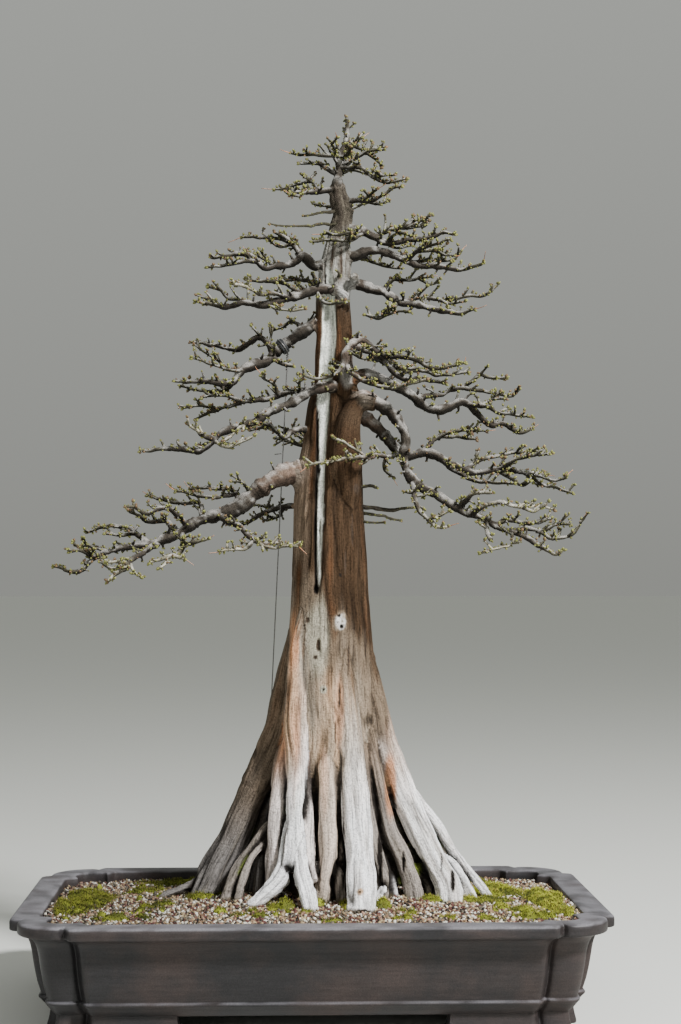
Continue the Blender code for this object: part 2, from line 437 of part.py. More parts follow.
def solid(name, points, faces):
    mesh = bpy.data.meshes.new(name)
    mesh.from_pydata([tuple(p) for p in points], [], faces)
    obj = bpy.data.objects.new(name, mesh)
    bpy.context.scene.collection.objects.link(obj)
    return obj


def outward(obj, triangles=False):
    """Merges doubles, turns every face outwards and cuts it into triangles if asked."""
    work = bmesh.new()
    work.from_mesh(obj.data)
    bmesh.ops.remove_doubles(work, verts=work.verts, dist=1e-6)
    bmesh.ops.recalc_face_normals(work, faces=work.faces)
    if triangles:
        bmesh.ops.triangulate(work, faces=work.faces)
    work.to_mesh(obj.data)
    work.free()
    return obj


def loft(name, rings):
    """A closed solid through rings of equal length, with flat ends."""
    count = len(rings[0])
    points = [p for ring in rings for p in ring]
    faces = [tuple(range(count))[::-1]]
    for level in range(len(rings) - 1):
        low, high = level * count, (level + 1) * count
        for i in range(count):
            j = (i + 1) % count
            faces.append((low + i, low + j, high + j, high + i))
    faces.append(tuple(range((len(rings) - 1) * count, len(rings) * count)))
    return outward(solid(name, points, faces))


def directions(points):
    """The direction of a route at each of its points."""
    steps = [(b - a).normalized() for a, b in zip(points, points[1:])]
    middles = [(a + b).normalized() for a, b in zip(steps, steps[1:])]
    return [steps[0]] + middles + [steps[-1]]


def frames(heads):
    """A side vector for each direction, carried along the route without a twist."""
    side = heads[0].orthogonal().normalized()
    sides = []
    for head in heads:
        side = (side - head * side.dot(head)).normalized()
        sides.append(side)
    return sides


def tube(name, points, radii, sides, heads=None):
    """A round tapering tube along the points, closed at both ends.

    A tube with few sides is drawn a little wider, so that it keeps the bulk of a round one.
    """
    heads = heads or directions(points)
    wider = math.sqrt(2 * math.pi / (sides * math.sin(2 * math.pi / sides)))
    wider = min(wider, 1.25)
    turns = [2 * math.pi * i / sides for i in range(sides)]
    rings = []
    for point, radius, head, side in zip(points, radii, heads, frames(heads)):
        other = head.cross(side)
        rings.append([point + (side * math.cos(t) + other * math.sin(t)) * radius * wider
                      for t in turns])
    return loft(name, rings)


def lengths_along(points):
    along = [0.0]
    for a, b in zip(points, points[1:]):
        along.append(along[-1] + (b - a).length)
    return along


def tapered(points, stations):
    """Radii along a route from a few given ones, spaced evenly by length."""
    along = lengths_along(points)
    marks = np.linspace(0, along[-1], len(stations))
    return [float(np.interp(a, marks, stations)) for a in along]


def with_bud(points, radii, swell=1.8):
    """Ends a route in a bud: a swelling and a fine tip over the last few millimetres."""
    head = (points[-1] - points[-2]).normalized()
    tip, thin = points[-1], radii[-1]
    bud = max(swell * thin, 0.0014)
    ends = [tip, tip + head * BUD_LENGTH * 0.5, tip + head * BUD_LENGTH]
    return points[:-1] + ends, radii[:-1] + [thin, bud, 0.0]


def simpler(points, radii, tolerance=0.0008):
    """Leaves out the points of a route that lie almost on the line between their neighbours."""
    keep = {0, len(points) - 1}
    spans = [(0, len(points) - 1)]
    while spans:
        first, last = spans.pop()
        line = points[last] - points[first]
        offs = [((points[k] - points[first]).cross(line).length / line.length, k)
                for k in range(first + 1, last)]
        if offs and max(offs)[0] > tolerance:
            middle = max(offs)[1]
            keep.add(middle)
            spans += [(first, middle), (middle, last)]
    kept = sorted(keep)
    return [points[k] for k in kept], [radii[k] for k in kept]


def tube_sides(radius):
    if radius > 0.0062:
        return 6
    return 4 if radius > 0.0026 else 3


def tidied(mesh, merge, flat):
    """The mesh in triangles, with doubles and slivers merged, and whether it is closed."""
    work = bmesh.new()
    work.from_mesh(mesh)
    bmesh.ops.triangulate(work, faces=work.faces, ngon_method="BEAUTY")
    if merge:
        bmesh.ops.remove_doubles(work, verts=work.verts, dist=merge)
        bmesh.ops.dissolve_degenerate(work, edges=work.edges, dist=merge / 4)
        bmesh.ops.dissolve_limit(work, verts=work.verts, edges=work.edges,
                                 angle_limit=math.radians(flat))
        bmesh.ops.triangulate(work, faces=work.faces)
    whole = bool(work.faces) and all(edge.is_manifold for edge in work.edges)
    tidy = bpy.data.meshes.new(mesh.name)
    work.to_mesh(tidy)
    work.free()
    return tidy, whole


def boolean(target, others, operation, flat=FLAT_ANGLE):
    """Applies one Boolean with all the others, then removes them."""
    group = bpy.data.collections.new("operands")
    bpy.context.scene.collection.children.link(group)
    for other in others:
        group.objects.link(other)
    change = target.modifiers.new("joined", "BOOLEAN")
    change.operation = operation
    change.operand_type = "COLLECTION"
    change.collection = group
    for solver, merge in (("EXACT", 1e-4), ("MANIFOLD", 1e-4), ("EXACT", 2e-5),
                          ("MANIFOLD", 2e-5), ("EXACT", 0), ("MANIFOLD", 0)):
        change.solver = solver
        graph = bpy.context.evaluated_depsgraph_get()
        made = bpy.data.meshes.new_from_object(target.evaluated_get(graph))
        made, whole = tidied(made, merge, flat)
        if whole:
            break
    target.modifiers.clear()
    target.data = made
    for other in others:
        bpy.data.objects.remove(other, do_unlink=True)
    bpy.data.collections.remove(group)
    return target


def keep_largest(obj):
    """Drops loose scraps that a union leaves inside or beside the main body."""
    work = bmesh.new()
    work.from_mesh(obj.data)
    left, bodies = set(work.verts), []
    while left:
        body, front = set(), [left.pop()]
        while front:
            vert = front.pop()
            body.add(vert)
            near = {edge.other_vert(vert) for edge in vert.link_edges} & left
            left -= near
            front.extend(near)
        bodies.append(body)
    largest = max(bodies, key=len)
    scraps = [vert for vert in work.verts if vert not in largest]
    bmesh.ops.delete(work, geom=scraps, context="VERTS")
    work.to_mesh(obj.data)
    work.free()
    return obj


def smooth(obj, angle=40):
    obj.data.shade_smooth()
    obj.data.set_sharp_from_angle(angle=math.radians(angle))
    return obj


def give(obj, name, material):
    obj.name = name
    obj.data.name = name
    obj.data.materials.clear()
    obj.data.materials.append(material)
    return smooth(obj)


# The pot

def quarter_outline(inset, notch_depth=NOTCH_DEPTH):
    """The front right quarter of the pot's outline, from the middle of its long side round.

    Both sides are straight and end in a narrow notch, with a quarter round lobe between them.
    Further in, the notches stand nearer to the middle of the sides.
    """
    half_x, half_y = POT_LENGTH / 2 - inset, POT_DEPTH / 2 - inset
    lobe_x = POT_LENGTH / 2 - LOBE_SETBACK_X - LOBE_RADIUS
    lobe_y = POT_DEPTH / 2 - LOBE_SETBACK_Y - LOBE_RADIUS
    radius, drift = LOBE_RADIUS - inset, NOTCH_DRIFT * inset
    side_end = NOTCH_WIDTH + drift
    notch = NOTCH_WIDTH / 2 + drift
    points = [(0.0, -half_y), (0.6 * lobe_x, -half_y), (lobe_x - side_end, -half_y),
              (lobe_x - notch, notch_depth - half_y),
              (lobe_x - drift, -(lobe_y + radius))]
    for turn in (math.radians(30), math.radians(60)):
        points.append((lobe_x + radius * math.sin(turn), -(lobe_y + radius * math.cos(turn))))
    points += [(lobe_x + radius, drift - lobe_y), (half_x - notch_depth, notch - lobe_y),
               (half_x, side_end - lobe_y), (half_x, 0.0)]
    return points


def pot_outline(inset, notch_depth=NOTCH_DEPTH):
    """The whole outline, counter-clockwise from the middle of the front."""
    quarter = quarter_outline(inset, notch_depth)
    right_back = [(x, -y) for x, y in quarter[-2::-1]]
    left_back = [(-x, -y) for x, y in quarter[1:]]
    left_front = [(-x, y) for x, y in quarter[-2:0:-1]]
    return quarter + right_back + left_back + left_front


def pot_ring(inset, height):
    return [Vector((x, y, height)) for x, y in pot_outline(inset)]


FLOOR_TOP = FOOT_HEIGHT + FLOOR
# Outside of the pot from its floor up, as (inset from the rim's edge, height)
POT_OUTSIDE = [
    (0.0460, FOOT_HEIGHT), (0.0360, 0.0320), (0.0325, 0.0360), (0.0345, 0.0400), (0.0295, 0.0600),
    (0.0225, 0.1010), (0.0150, 0.1115), (0.0, 0.1155), (0.0, POT_HEIGHT),
]
POT_INSIDE = [(RIM_WIDTH, POT_HEIGHT), (0.0375, 0.0750), (0.0450, FLOOR_TOP)]
FOOT_START_X = 0.157
FOOT_START_Y = 0.090
FOOT_INSET = 0.0455
FOOT_FLARE = 0.003
FOOT_INSIDE = [(0.157, 0.158), (0.250, 0.149), (0.264, 0.137), (0.272, 0.090)]


def pot_foot(side_x, side_y):
    """A bracket foot round one corner: outside it follows the pot, inside it is an angle."""
    def ring(spread, height):
        outer = [p for p in quarter_outline(FOOT_INSET + spread)
                 if p[0] > FOOT_START_X and -p[1] > FOOT_START_Y]
        outer = ([(FOOT_START_X + spread, outer[0][1])] + outer
                 + [(outer[-1][0], -FOOT_START_Y - spread)])
        inner = [(x + spread, -y - spread) for x, y in FOOT_INSIDE]
        return [Vector((x * side_x, y * side_y, height)) for x, y in outer + inner[::-1]]

    rings = [ring(-FOOT_FLARE, 0.0), ring(0.0, FOOT_HEIGHT + 0.003)]
    return loft("foot", rings)


def make_pot(material):
    rings = [pot_ring(inset, height) for inset, height in POT_OUTSIDE + POT_INSIDE]
    pot = loft("pot", rings)
    feet = [pot_foot(sx, sy) for sx in (1, -1) for sy in (1, -1)]
    boolean(pot, feet, "UNION")
    drains = []
    for side in (1, -1):
        low, high = FOOT_HEIGHT - 0.01, FLOOR_TOP + 0.01
        ends = [Vector((side * DRAIN_X, 0, z)) for z in (low, high)]
        drains.append(tube("drain", ends, [DRAIN_RADIUS] * 2, 16))
    boolean(pot, drains, "DIFFERENCE")
    return give(pot, "pot", material)


SCREEN_SIZE = 0.044
SCREEN_THICKNESS = 0.0014
SCREEN_HOLE = 0.0130


def make_screen(name, side, material):
    """A square of coarse plastic net that covers a drain hole."""
    low, half = FLOOR_TOP + GAP, SCREEN_SIZE / 2

    def block(cx, cy, size, z0, z1):
        half_side = size / 2
        corners = [(-1, -1), (1, -1), (1, 1), (-1, 1)]
        rings = [[Vector((cx + a * half_side, cy + b * half_side, z)) for a, b in corners]
                 for z in (z0, z1)]
        return loft("block", rings)

    plate = block(side * DRAIN_X, 0, 2 * half, low, low + SCREEN_THICKNESS)
    holes = [block(side * DRAIN_X + i * 0.009, j * 0.009, SCREEN_HOLE, low - 0.01, low + 0.01)
             for i in (-1, 1) for j in (-1, 1)]
    boolean(plate, holes, "DIFFERENCE")
    return give(plate, name, material)


# The soil and the moss

def soil_height(x, y):
    """The soil's surface: a low mound that falls towards the pot's walls, most at the back."""
    away = math.hypot((x - TRUNK_X) / 0.30, y / 0.21)
    mound = 0.004 * math.exp(-3.0 * away * away)
    edge = -0.012 * min(1.0, away) ** 3 * (0.6 + 0.4 * math.tanh(y / 0.08))
    return SOIL_LEVEL - 0.001 + mound + edge + 0.0012 * math.sin(31 * x + 1.3) * math.sin(37 * y)


def inner_inset(height):
    heights = [level for _, level in POT_INSIDE[::-1]]
    return float(np.interp(height, heights, [inset for inset, _ in POT_INSIDE[::-1]]))


def soil_body(name, lift=0.0):
    """The bed of soil before its holes: its walls stand a gap inside the pot's."""
    rings = [pot_ring(POT_INSIDE[-1][0] + GAP, FLOOR_TOP + GAP),
             pot_ring(POT_INSIDE[1][0] + GAP, POT_INSIDE[1][1])]
    wall_top = inner_inset(POT_HEIGHT - 0.012) + 2 * GAP
    for inset in (wall_top, 0.052, 0.110):
        shape = pot_outline(min(inset, 0.045), NOTCH_DEPTH if inset == wall_top else 0.006)
        squeeze = (POT_DEPTH / 2 - inset) / (POT_DEPTH / 2 - min(inset, 0.045))
        ring = [(x * (0.25 + 0.75 * squeeze), y * squeeze) for x, y in shape]
        rings.append([Vector((x, y, soil_height(x, y) + lift)) for x, y in ring])
    return outward(loft(name, rings), triangles=True)


def make_soil(root_cutters, material):
    soil = soil_body("soil")
    pockets = []
    for side in (1, -1):
        half = SCREEN_SIZE / 2 + GAP
        corners = [(-1, -1), (1, -1), (1, 1), (-1, 1)]
        box = [[Vector((side * DRAIN_X + a * half, b * half, z)) for a, b in corners]
               for z in (FLOOR_TOP - 0.01, FLOOR_TOP + SCREEN_THICKNESS + 2 * GAP)]
        pockets.append(loft("pocket", box))
    boolean(soil, pockets + root_cutters, "DIFFERENCE", 0.02)
    return give(keep_largest(soil), "soil", material)


def make_moss(pad, material, cutters):
    """A low cushion of moss, with its underside a gap above the soil."""
    name, cx, cy, half_x, half_y = pad
    turns = [2 * math.pi * i / 12 for i in range(12)]
    # share of the pad's size and height over the soil, from the underside over the edge
    profile = [(0.94, -0.003), (1.0, 0.0025), (0.84, 0.0058), (0.45, 0.0072)]
    rings = []
    for share, rise in profile:
        ring = []
        for turn in turns:
            ragged = 1 + 0.10 * math.sin(3 * turn + cx * 40) + 0.06 * math.sin(7 * turn + cy * 50)
            x = cx + half_x * share * ragged * math.cos(turn)
            y = cy + half_y * share * ragged * math.sin(turn)
            lump = 0.0010 * math.sin(90 * x) * math.cos(70 * y) if rise > 0 else 0.0
            ring.append(Vector((x, y, soil_height(x, y) + rise + lump)))
        rings.append(ring)
    moss = loft(name, rings)
    boolean(moss, [soil_body("bed", GAP)] + cutters, "DIFFERENCE", 0.02)
    return give(keep_largest(moss), name, material)


# The trunk and its roots

def trunk_ring(height, left, right):
    middle, half = (left + right) / 2, (right - left) / 2
    shari = math.exp(-((height - 430) / 150) ** 4)
    low = max(0.0, 1 - height / 300)
    ring = []
    for i in range(TRUNK_SIDES):
        turn = 2 * math.pi * i / TRUNK_SIDES
        off = (turn - SHARI_TURN + math.pi) % (2 * math.pi) - math.pi
        ribs = 0.035 * math.sin(5 * turn + height / 70) + 0.045 * low * math.sin(9 * turn + 1)
        ribs *= math.sin(turn) ** 2
        spread = 1 + ribs - 0.11 * shari * math.exp(-(off / 0.30) ** 2)
        x = middle + half * spread * math.cos(turn)
        y = TRUNK_AXIS_DEPTH + half * TRUNK_ROUNDNESS * spread * math.sin(turn)
        ring.append(place((x, height, y)))
    return ring


def back_root(turn, reach, foot):
    """A root at the back: it leaves the trunk high up and runs out to its foot in a curve."""
    axis = Vector((TRUNK_X - 0.008, TRUNK_AXIS_DEPTH * GRID, 0))
    way = Vector((math.sin(math.radians(turn)), -math.cos(math.radians(turn)), 0))
    points = []
    for share in (0.0, 0.2, 0.4, 0.6, 0.8, 0.92, 1.0):
        out = 0.038 + (reach - 0.038) * share**1.4
        rise = BACK_ROOT_HEIGHT * (1 - share) ** 1.2 - 0.012 * share**3
        points.append(axis + way * out + Vector((0, 0, SOIL_LEVEL + rise)))
    return points, tapered(points, [0.010, 0.010, foot * GRID])


def root_routes():
    routes = []
    for top, foot, points in ROOTS:
        route = [place(p) for p in points]
        routes.append((route, tapered(route, [top * GRID, foot * GRID])))
    for turn, reach, foot in BACK_ROOTS:
        routes.append(back_root(turn, reach, foot))
    return routes


def root_tubes(extra=0.0):
    """Each root as a tube, or thicker by extra to cut its hole in the soil."""
    tubes = []
    for route, radii in root_routes():
        sides = 7 if max(radii) > 0.0120 else 5
        route = list(route)
        head = (route[-1] - route[-2]).normalized()
        route[-1] = route[-1] + head * extra
        route, radii = simpler(route, radii, 0.0020)
        tubes.append(tube("root", route, [r + extra for r in radii], sides))
    return tubes


def trunk_core(extra=0.0):
    rings = [trunk_ring(*edge) for edge in TRUNK_EDGES]
    if extra:
        centre = sum(rings[0], Vector()) / TRUNK_SIDES
        rings = rings[:3]
        rings = [[p + (Vector((p.x - centre.x, p.y - centre.y, 0)).normalized() * extra)
                  for p in ring] for ring in rings]
        rings[0] = [p - Vector((0, 0, extra)) for p in rings[0]]
    return loft("core", rings)


def lump(radius, point):
    work = bmesh.new()
    bmesh.ops.create_icosphere(work, subdivisions=1, radius=radius * GRID)
    bmesh.ops.translate(work, verts=work.verts, vec=place(point))
    mesh = bpy.data.meshes.new("lump")
    work.to_mesh(mesh)
    work.free()
    obj = bpy.data.objects.new("lump", mesh)
    bpy.context.scene.collection.objects.link(obj)
    return obj


# The limbs

class Stroke:
    """One route of a limb in metres: its points and its radii."""

    def __init__(self, data):
        *stations, points = data
        self.points = [place(p) for p in points]
        self.radii = tapered(self.points, [s * GRID for s in stations])


def limb_strokes():
    return {name: [Stroke(data) for data in strokes] for name, strokes in LIMBS.items()}


def leave_collar(stroke):
    """The part of a limb's main route beyond its collar, starting a gap away from it."""
    heads = directions(stroke.points)
    points, radii = list(stroke.points[1:]), list(stroke.radii[1:])
    points[0] = points[0] + heads[1] * GAP
    return points, radii, heads[1]


class Clearance:
    """Keeps the routes already drawn, to place new twigs where they touch no other limb."""

    def __init__(self):
        self.starts, self.ends, self.thick, self.owners = [], [], [], []

    def add(self, owner, points, radii):
        for a, b, ra, rb in zip(points, points[1:], radii, radii[1:]):
            self.starts.append(a)
            self.ends.append(b)
            self.thick.append(max(ra, rb))
            self.owners.append(owner)

    def settle(self):
        self.a = np.array(self.starts)
        self.b = np.array(self.ends)
        self.r = np.array(self.thick)
        self.names = np.array(self.owners)

    def free(self, owner, points, radius):
        others = self.names != owner
        a, b, r = self.a[others], self.b[others], self.r[others]
        along = b - a
        square = (along**2).sum(axis=1)
        for p, q in zip(points, points[1:]):
            for share in (0.0, 0.25, 0.5, 0.75, 1.0):
                spot = np.array(p.lerp(q, share))
                t = np.clip(((spot - a) * along).sum(axis=1) / square, 0, 1)
                gap = np.linalg.norm(spot - a - along * t[:, None], axis=1) - r - radius
                if gap.min() < TWIG_CLEARANCE:
                    return False
        return True


def trunk_clearance(space):
    for low, high in zip(TRUNK_EDGES[6:], TRUNK_EDGES[7:]):
        ends = [place(((e[1] + e[2]) / 2, e[0], TRUNK_AXIS_DEPTH)) for e in (low, high)]
        radius = [(e[2] - e[1]) / 2 * 1.04 * GRID for e in (low, high)]
        space.add("trunk", ends, radius)
    space.add("guy_wire", [place(WIRE_TOP), place(WIRE_FOOT)], [0.0015, 0.0015])
    space.add("guy_pad", [place(p) for p in PAD_SPAN], [0.0110, 0.0110])


TWIG_PITCH = 0.064
TWIG_RADIUS = 0.0010
TWIG_REACH = (0.009, 0.020)


def twig_from(stroke, at, draw):
    """A short twig that leaves a stroke at a given length, up and to one side."""
    along = lengths_along(stroke.points)
    i = max(k for k, a in enumerate(along[:-1]) if a <= at)
    share = (at - along[i]) / (along[i + 1] - along[i])
    root = stroke.points[i].lerp(stroke.points[i + 1], share)
    head = (stroke.points[i + 1] - stroke.points[i]).normalized()
    side = head.cross(Vector((0, 0, 1))).normalized() * draw.choice((-1, 1))
    lift = Vector((0, 0, 1)) * draw.uniform(-0.35, 1.1)
    way = (head * draw.uniform(0.25, 0.9) + side * draw.uniform(0.3, 1.0) + lift).normalized()
    reach = draw.uniform(*TWIG_REACH)
    bend = Vector((0, 0, draw.uniform(0.0, 0.3) * reach))
    tip = root + way * reach + bend
    return [root, tip]


def seeded_twigs(name, strokes, space, draw):
    twigs = []
    for index, stroke in enumerate(strokes):
        total = lengths_along(stroke.points)[-1]
        at = total * (0.42 if index == 0 else 0.30) + draw.uniform(0, TWIG_PITCH)
        while at < total * 0.97:
            for attempt in range(5):
                points = twig_from(stroke, at, draw)
                if space.free(name, [points[0].lerp(points[1], 0.4), points[1]], 0.0022):
                    twigs.append(points)
                    break
            at += TWIG_PITCH * draw.uniform(0.75, 1.35)
    return twigs


def limb_tubes(strokes, twigs):
    points, radii, head = leave_collar(strokes[0])
    ends, sizes = with_bud(*simpler(points, radii))
    heads = [head] + directions(ends)[1:]
    tubes = [tube("limb", ends, sizes, tube_sides(sizes[0]), heads)]
    for stroke in strokes[1:]:
        ends, sizes = with_bud(*simpler(stroke.points, stroke.radii))
        tubes.append(tube("limb", ends, sizes, tube_sides(sizes[0])))
    for twig in twigs:
        ends, sizes = with_bud(twig, [TWIG_RADIUS, TWIG_RADIUS * 0.8], 2.0)
        tubes.append(tube("twig", ends, sizes, 3))
    return tubes


def make_limb(name, strokes, twigs, material):
    tubes = limb_tubes(strokes, twigs)
    limb = boolean(tubes[0], tubes[1:], "UNION")
    return give(keep_largest(limb), name, material)


def collar(stroke):
    """The stub of a limb that belongs to the trunk, flat where the limb begins."""
    heads = directions(stroke.points)
    radii = [stroke.radii[0] * 1.25, stroke.radii[1]]
    return tube("collar", stroke.points[:2], radii, tube_sides(stroke.radii[1]),
                [heads[1], heads[1]])


def make_trunk(limbs, material):
    pieces = root_tubes()
    pieces += [collar(strokes[0]) for strokes in limbs.values()]
    pieces += [lump(radius, point) for radius, point in KNOTS]
    for data in TRUNK_SHOOTS:
        shoot = Stroke(data)
        pieces.append(tube("shoot", *with_bud(shoot.points, shoot.radii), 3))
    trunk = boolean(trunk_core(), pieces, "UNION")
    return give(keep_largest(trunk), "trunk", material)


# The guy wire and its pad

def pad_axis(stroke):
    """The middle of the pad, the limb's direction there and the pad's inner radius."""
    ends = [place(p) for p in PAD_SPAN]
    centre = (ends[0] + ends[1]) / 2
    near = min(range(len(stroke.points)), key=lambda k: (stroke.points[k] - ends[0]).length)
    return centre, (ends[1] - ends[0]).normalized(), stroke.radii[near] * 1.11 + 0.0004


def hoop(name, centre, head, section, count):
    """A closed band round an axis, from its section given as (radius, shift along the axis)."""
    side = frames([head])[0]
    other = head.cross(side)
    size, points, faces = len(section), [], []
    for i in range(count):
        turn = 2 * math.pi * i / count
        way = side * math.cos(turn) + other * math.sin(turn)
        points += [centre + way * out + head * along for out, along in section]
        j = (i + 1) % count
        for k in range(size):
            m = (k + 1) % size
            faces.append((i * size + k, i * size + m, j * size + m, j * size + k))
    return outward(solid(name, points, faces))


def make_wire(stroke, material):
    centre, head, inner = pad_axis(stroke)
    ring = inner + PAD_WALL + GAP + WIRE_RADIUS
    section = [(ring + WIRE_RADIUS * math.cos(t), WIRE_RADIUS * math.sin(t))
               for t in (0.4, 1.66, 2.91, 4.17, 5.43)]
    wire = hoop("guy_wire", centre, head, section, 12)
    foot = place(WIRE_FOOT)
    down = foot - centre
    out = (down - head * down.dot(head)).normalized()
    top = centre + out * ring
    run = tube("run", [top, foot], [WIRE_RADIUS] * 2, 6)
    return give(boolean(wire, [run], "UNION"), "guy_wire", material)


def wire_hole():
    top, foot = place(WIRE_TOP), place(WIRE_FOOT)
    head = (foot - top).normalized()
    ends = [foot - head * 0.05, foot + head * GAP]
    return tube("wire hole", ends, [WIRE_RADIUS + 0.0005] * 2, 10)


def make_pad(stroke, material):
    """The rubber sleeve round the limb."""
    centre, head, inner = pad_axis(stroke)
    half = PAD_WIDTH / 2
    section = [(inner, -half), (inner + PAD_WALL, -half), (inner + PAD_WALL, half), (inner, half)]
    return give(hoop("guy_pad", centre, head, section, 12), "guy_pad", material)


def build():
    clear_scene()
    bark = finish("bald cypress bark", (0.23, 0.12, 0.07), 0.85)
    twig_bark = finish("twig bark", (0.16, 0.12, 0.08), 0.80)
    clay = finish("unglazed stoneware", (0.10, 0.085, 0.08), 0.60)
    grit = finish("akadama and grit", (0.42, 0.32, 0.25), 0.95)
    green = finish("moss", (0.20, 0.25, 0.03), 0.95)
    net = finish("screen plastic", (0.03, 0.03, 0.03), 0.50)
    steel = finish("galvanised wire", (0.30, 0.30, 0.29), 0.45, 1.0)
    rubber = finish("black rubber", (0.02, 0.02, 0.02), 0.60)

    limbs = limb_strokes()
    space = Clearance()
    trunk_clearance(space)
    for name, strokes in limbs.items():
        for stroke in strokes:
            space.add(name, stroke.points, stroke.radii)
    space.settle()

    make_pot(clay)
    for name, side in (("drain_screen_left", -1), ("drain_screen_right", 1)):
        make_screen(name, side, net)
    root_cut = root_tubes(ROOT_HOLE_GAP) + [trunk_core(ROOT_HOLE_GAP), wire_hole()]
    make_soil(root_cut, grit)
    for pad in MOSS_PADS:
        near = pad[0] in ("moss_front", "moss_back_left", "moss_back_right", "moss_left")
        make_moss(pad, green, root_tubes(ROOT_HOLE_GAP) if near else [])
    make_trunk(limbs, bark)

    draw = random.Random(SEED)
    for name, strokes in limbs.items():
        twigs = seeded_twigs(name, strokes, space, draw)
        for twig in twigs:
            space.add(name, twig, [0.0016] * 2)
        space.settle()
        make_limb(name, strokes, twigs, twig_bark)
    make_wire(limbs["limb_left_4"][0], steel)
    make_pad(limbs["limb_left_4"][0], rubber)


build()
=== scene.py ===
import json
import math
from types import SimpleNamespace

import bpy
import numpy as np
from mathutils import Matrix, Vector

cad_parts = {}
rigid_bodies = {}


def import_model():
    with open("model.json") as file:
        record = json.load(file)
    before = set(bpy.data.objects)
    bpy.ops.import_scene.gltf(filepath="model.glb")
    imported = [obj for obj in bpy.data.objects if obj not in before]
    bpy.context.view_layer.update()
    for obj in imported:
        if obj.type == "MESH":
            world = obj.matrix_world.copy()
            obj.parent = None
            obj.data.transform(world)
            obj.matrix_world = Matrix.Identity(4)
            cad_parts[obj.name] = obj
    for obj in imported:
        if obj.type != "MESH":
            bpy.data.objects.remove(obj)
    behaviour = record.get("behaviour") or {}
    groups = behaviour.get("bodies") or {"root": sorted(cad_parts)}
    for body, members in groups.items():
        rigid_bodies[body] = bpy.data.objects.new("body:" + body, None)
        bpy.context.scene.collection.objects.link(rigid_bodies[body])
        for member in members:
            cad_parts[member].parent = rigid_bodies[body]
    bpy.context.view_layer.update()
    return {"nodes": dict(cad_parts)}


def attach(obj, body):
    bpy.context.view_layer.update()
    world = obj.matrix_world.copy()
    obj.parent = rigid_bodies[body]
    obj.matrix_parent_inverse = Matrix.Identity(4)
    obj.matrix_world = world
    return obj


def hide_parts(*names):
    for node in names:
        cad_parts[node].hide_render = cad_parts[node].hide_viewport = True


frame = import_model()
draw = np.random.default_rng(11)
print("frame loaded:", len(frame["nodes"]), "nodes")

# The tree is drawn on a sketch grid seen from the front: x to the right of the trunk line,
# z above the soil, and the depth y of each point on its own line of sight.
sketch = {"step": 0.0012522, "trunkX": 0.0369, "soilLevel": 0.130, "eye": (-0.0506, -2.473, 0.5284)}
step = sketch["step"]
eye = np.array(sketch["eye"])


def fromSketch(points):
    # the flat point on the trunk's plane slides along its line of sight by the depth
    p = np.asarray(points, float).reshape(-1, 3)
    flat = np.column_stack([sketch["trunkX"] + p[:, 0] * step, np.zeros(len(p)),
                            sketch["soilLevel"] + p[:, 1] * step])
    return eye + (flat - eye) * (1 - p[:, 2:3] * step / eye[1])


def toSketch(points):
    # the line of sight through a point meets the trunk's plane at its grid place
    share = -eye[1] / (points[:, 1] - eye[1])
    flat = eye + (points - eye) * share[:, None]
    return np.column_stack([(flat[:, 0] - sketch["trunkX"]) / step,
                            (flat[:, 2] - sketch["soilLevel"]) / step, points[:, 1] / step])


# Small maths shared by the pieces

def ramp(low, high, values):
    # smoothstep from 0 at low to 1 at high
    t = np.clip((values - low) / (high - low), 0, 1)
    return t * t * (3 - 2 * t)


def hill(centre, width, values):
    # bell curve of height 1 at the centre
    return np.exp(-((values - centre) / width) ** 2)


def blend(first, second, share):
    # straight mix of two tones or tone arrays
    share = np.clip(np.asarray(share, float), 0, 1)
    share = share[..., None] if share.ndim else share
    return np.asarray(first) * (1 - share) + np.asarray(second) * share


def unit(vectors):
    return vectors / np.maximum(np.linalg.norm(vectors, axis=-1, keepdims=True), 1e-9)


def cellNoise(points, seed=0):
    # value noise from -1 to 1: hashed values at the eight cell corners, faded into each other
    points = np.asarray(points, float)
    cell = np.floor(points).astype(np.int64)
    fade = points - cell
    fade = fade * fade * (3 - 2 * fade)
    total = np.zeros(len(points))
    for corner in range(8):
        offset = np.array([corner & 1, corner >> 1 & 1, corner >> 2 & 1])
        n = (cell + offset) * np.array([73856093, 19349663, 83492791])
        n = n[:, 0] ^ n[:, 1] ^ n[:, 2] ^ (seed * 26544357 + 911)
        n = (n ^ (n >> 13)) * 1274126177 & 0x7FFFFFFF
        n = (n ^ (n >> 16)) & 0xFFFF
        weight = np.prod(np.where(offset == 1, fade, 1 - fade), axis=1)
        total += weight * n
    return total / 32767.5 - 1


def layeredNoise(points, layers=3, seed=0):
    # each layer is twice as fine and half as strong as the one before
    total, strength = np.zeros(len(points)), 1.0
    for layer in range(layers):
        total += strength * cellNoise(points * 2.0 ** layer, seed + layer)
        strength *= 0.5
    return total / (2 - 2 * strength)


def smoothRoute(points, stations, spacing):
    # Catmull-Rom curve through the points; radii go evenly by length between the stations
    p = np.asarray(points, float)
    ends = np.vstack([2 * p[0] - p[1], p, 2 * p[-1] - p[-2]])
    spans = np.linalg.norm(np.diff(p, axis=0), axis=1)
    counts = np.maximum(1, np.ceil(spans / spacing).astype(int))
    index = np.append(np.repeat(np.arange(len(spans)), counts), len(spans) - 1)
    t = np.append(np.concatenate([np.arange(c) / c for c in counts]), 1.0)[:, None]
    a, b, c, d = (ends[index + k] for k in range(4))
    route = 0.5 * (2 * b + (c - a) * t + (2 * a - 5 * b + 4 * c - d) * t ** 2
                   + (3 * b - a - 3 * c + d) * t ** 3)
    along = lengthsAlong(route)
    marks = np.linspace(0, along[-1], len(stations))
    return route, np.interp(along, marks, stations)


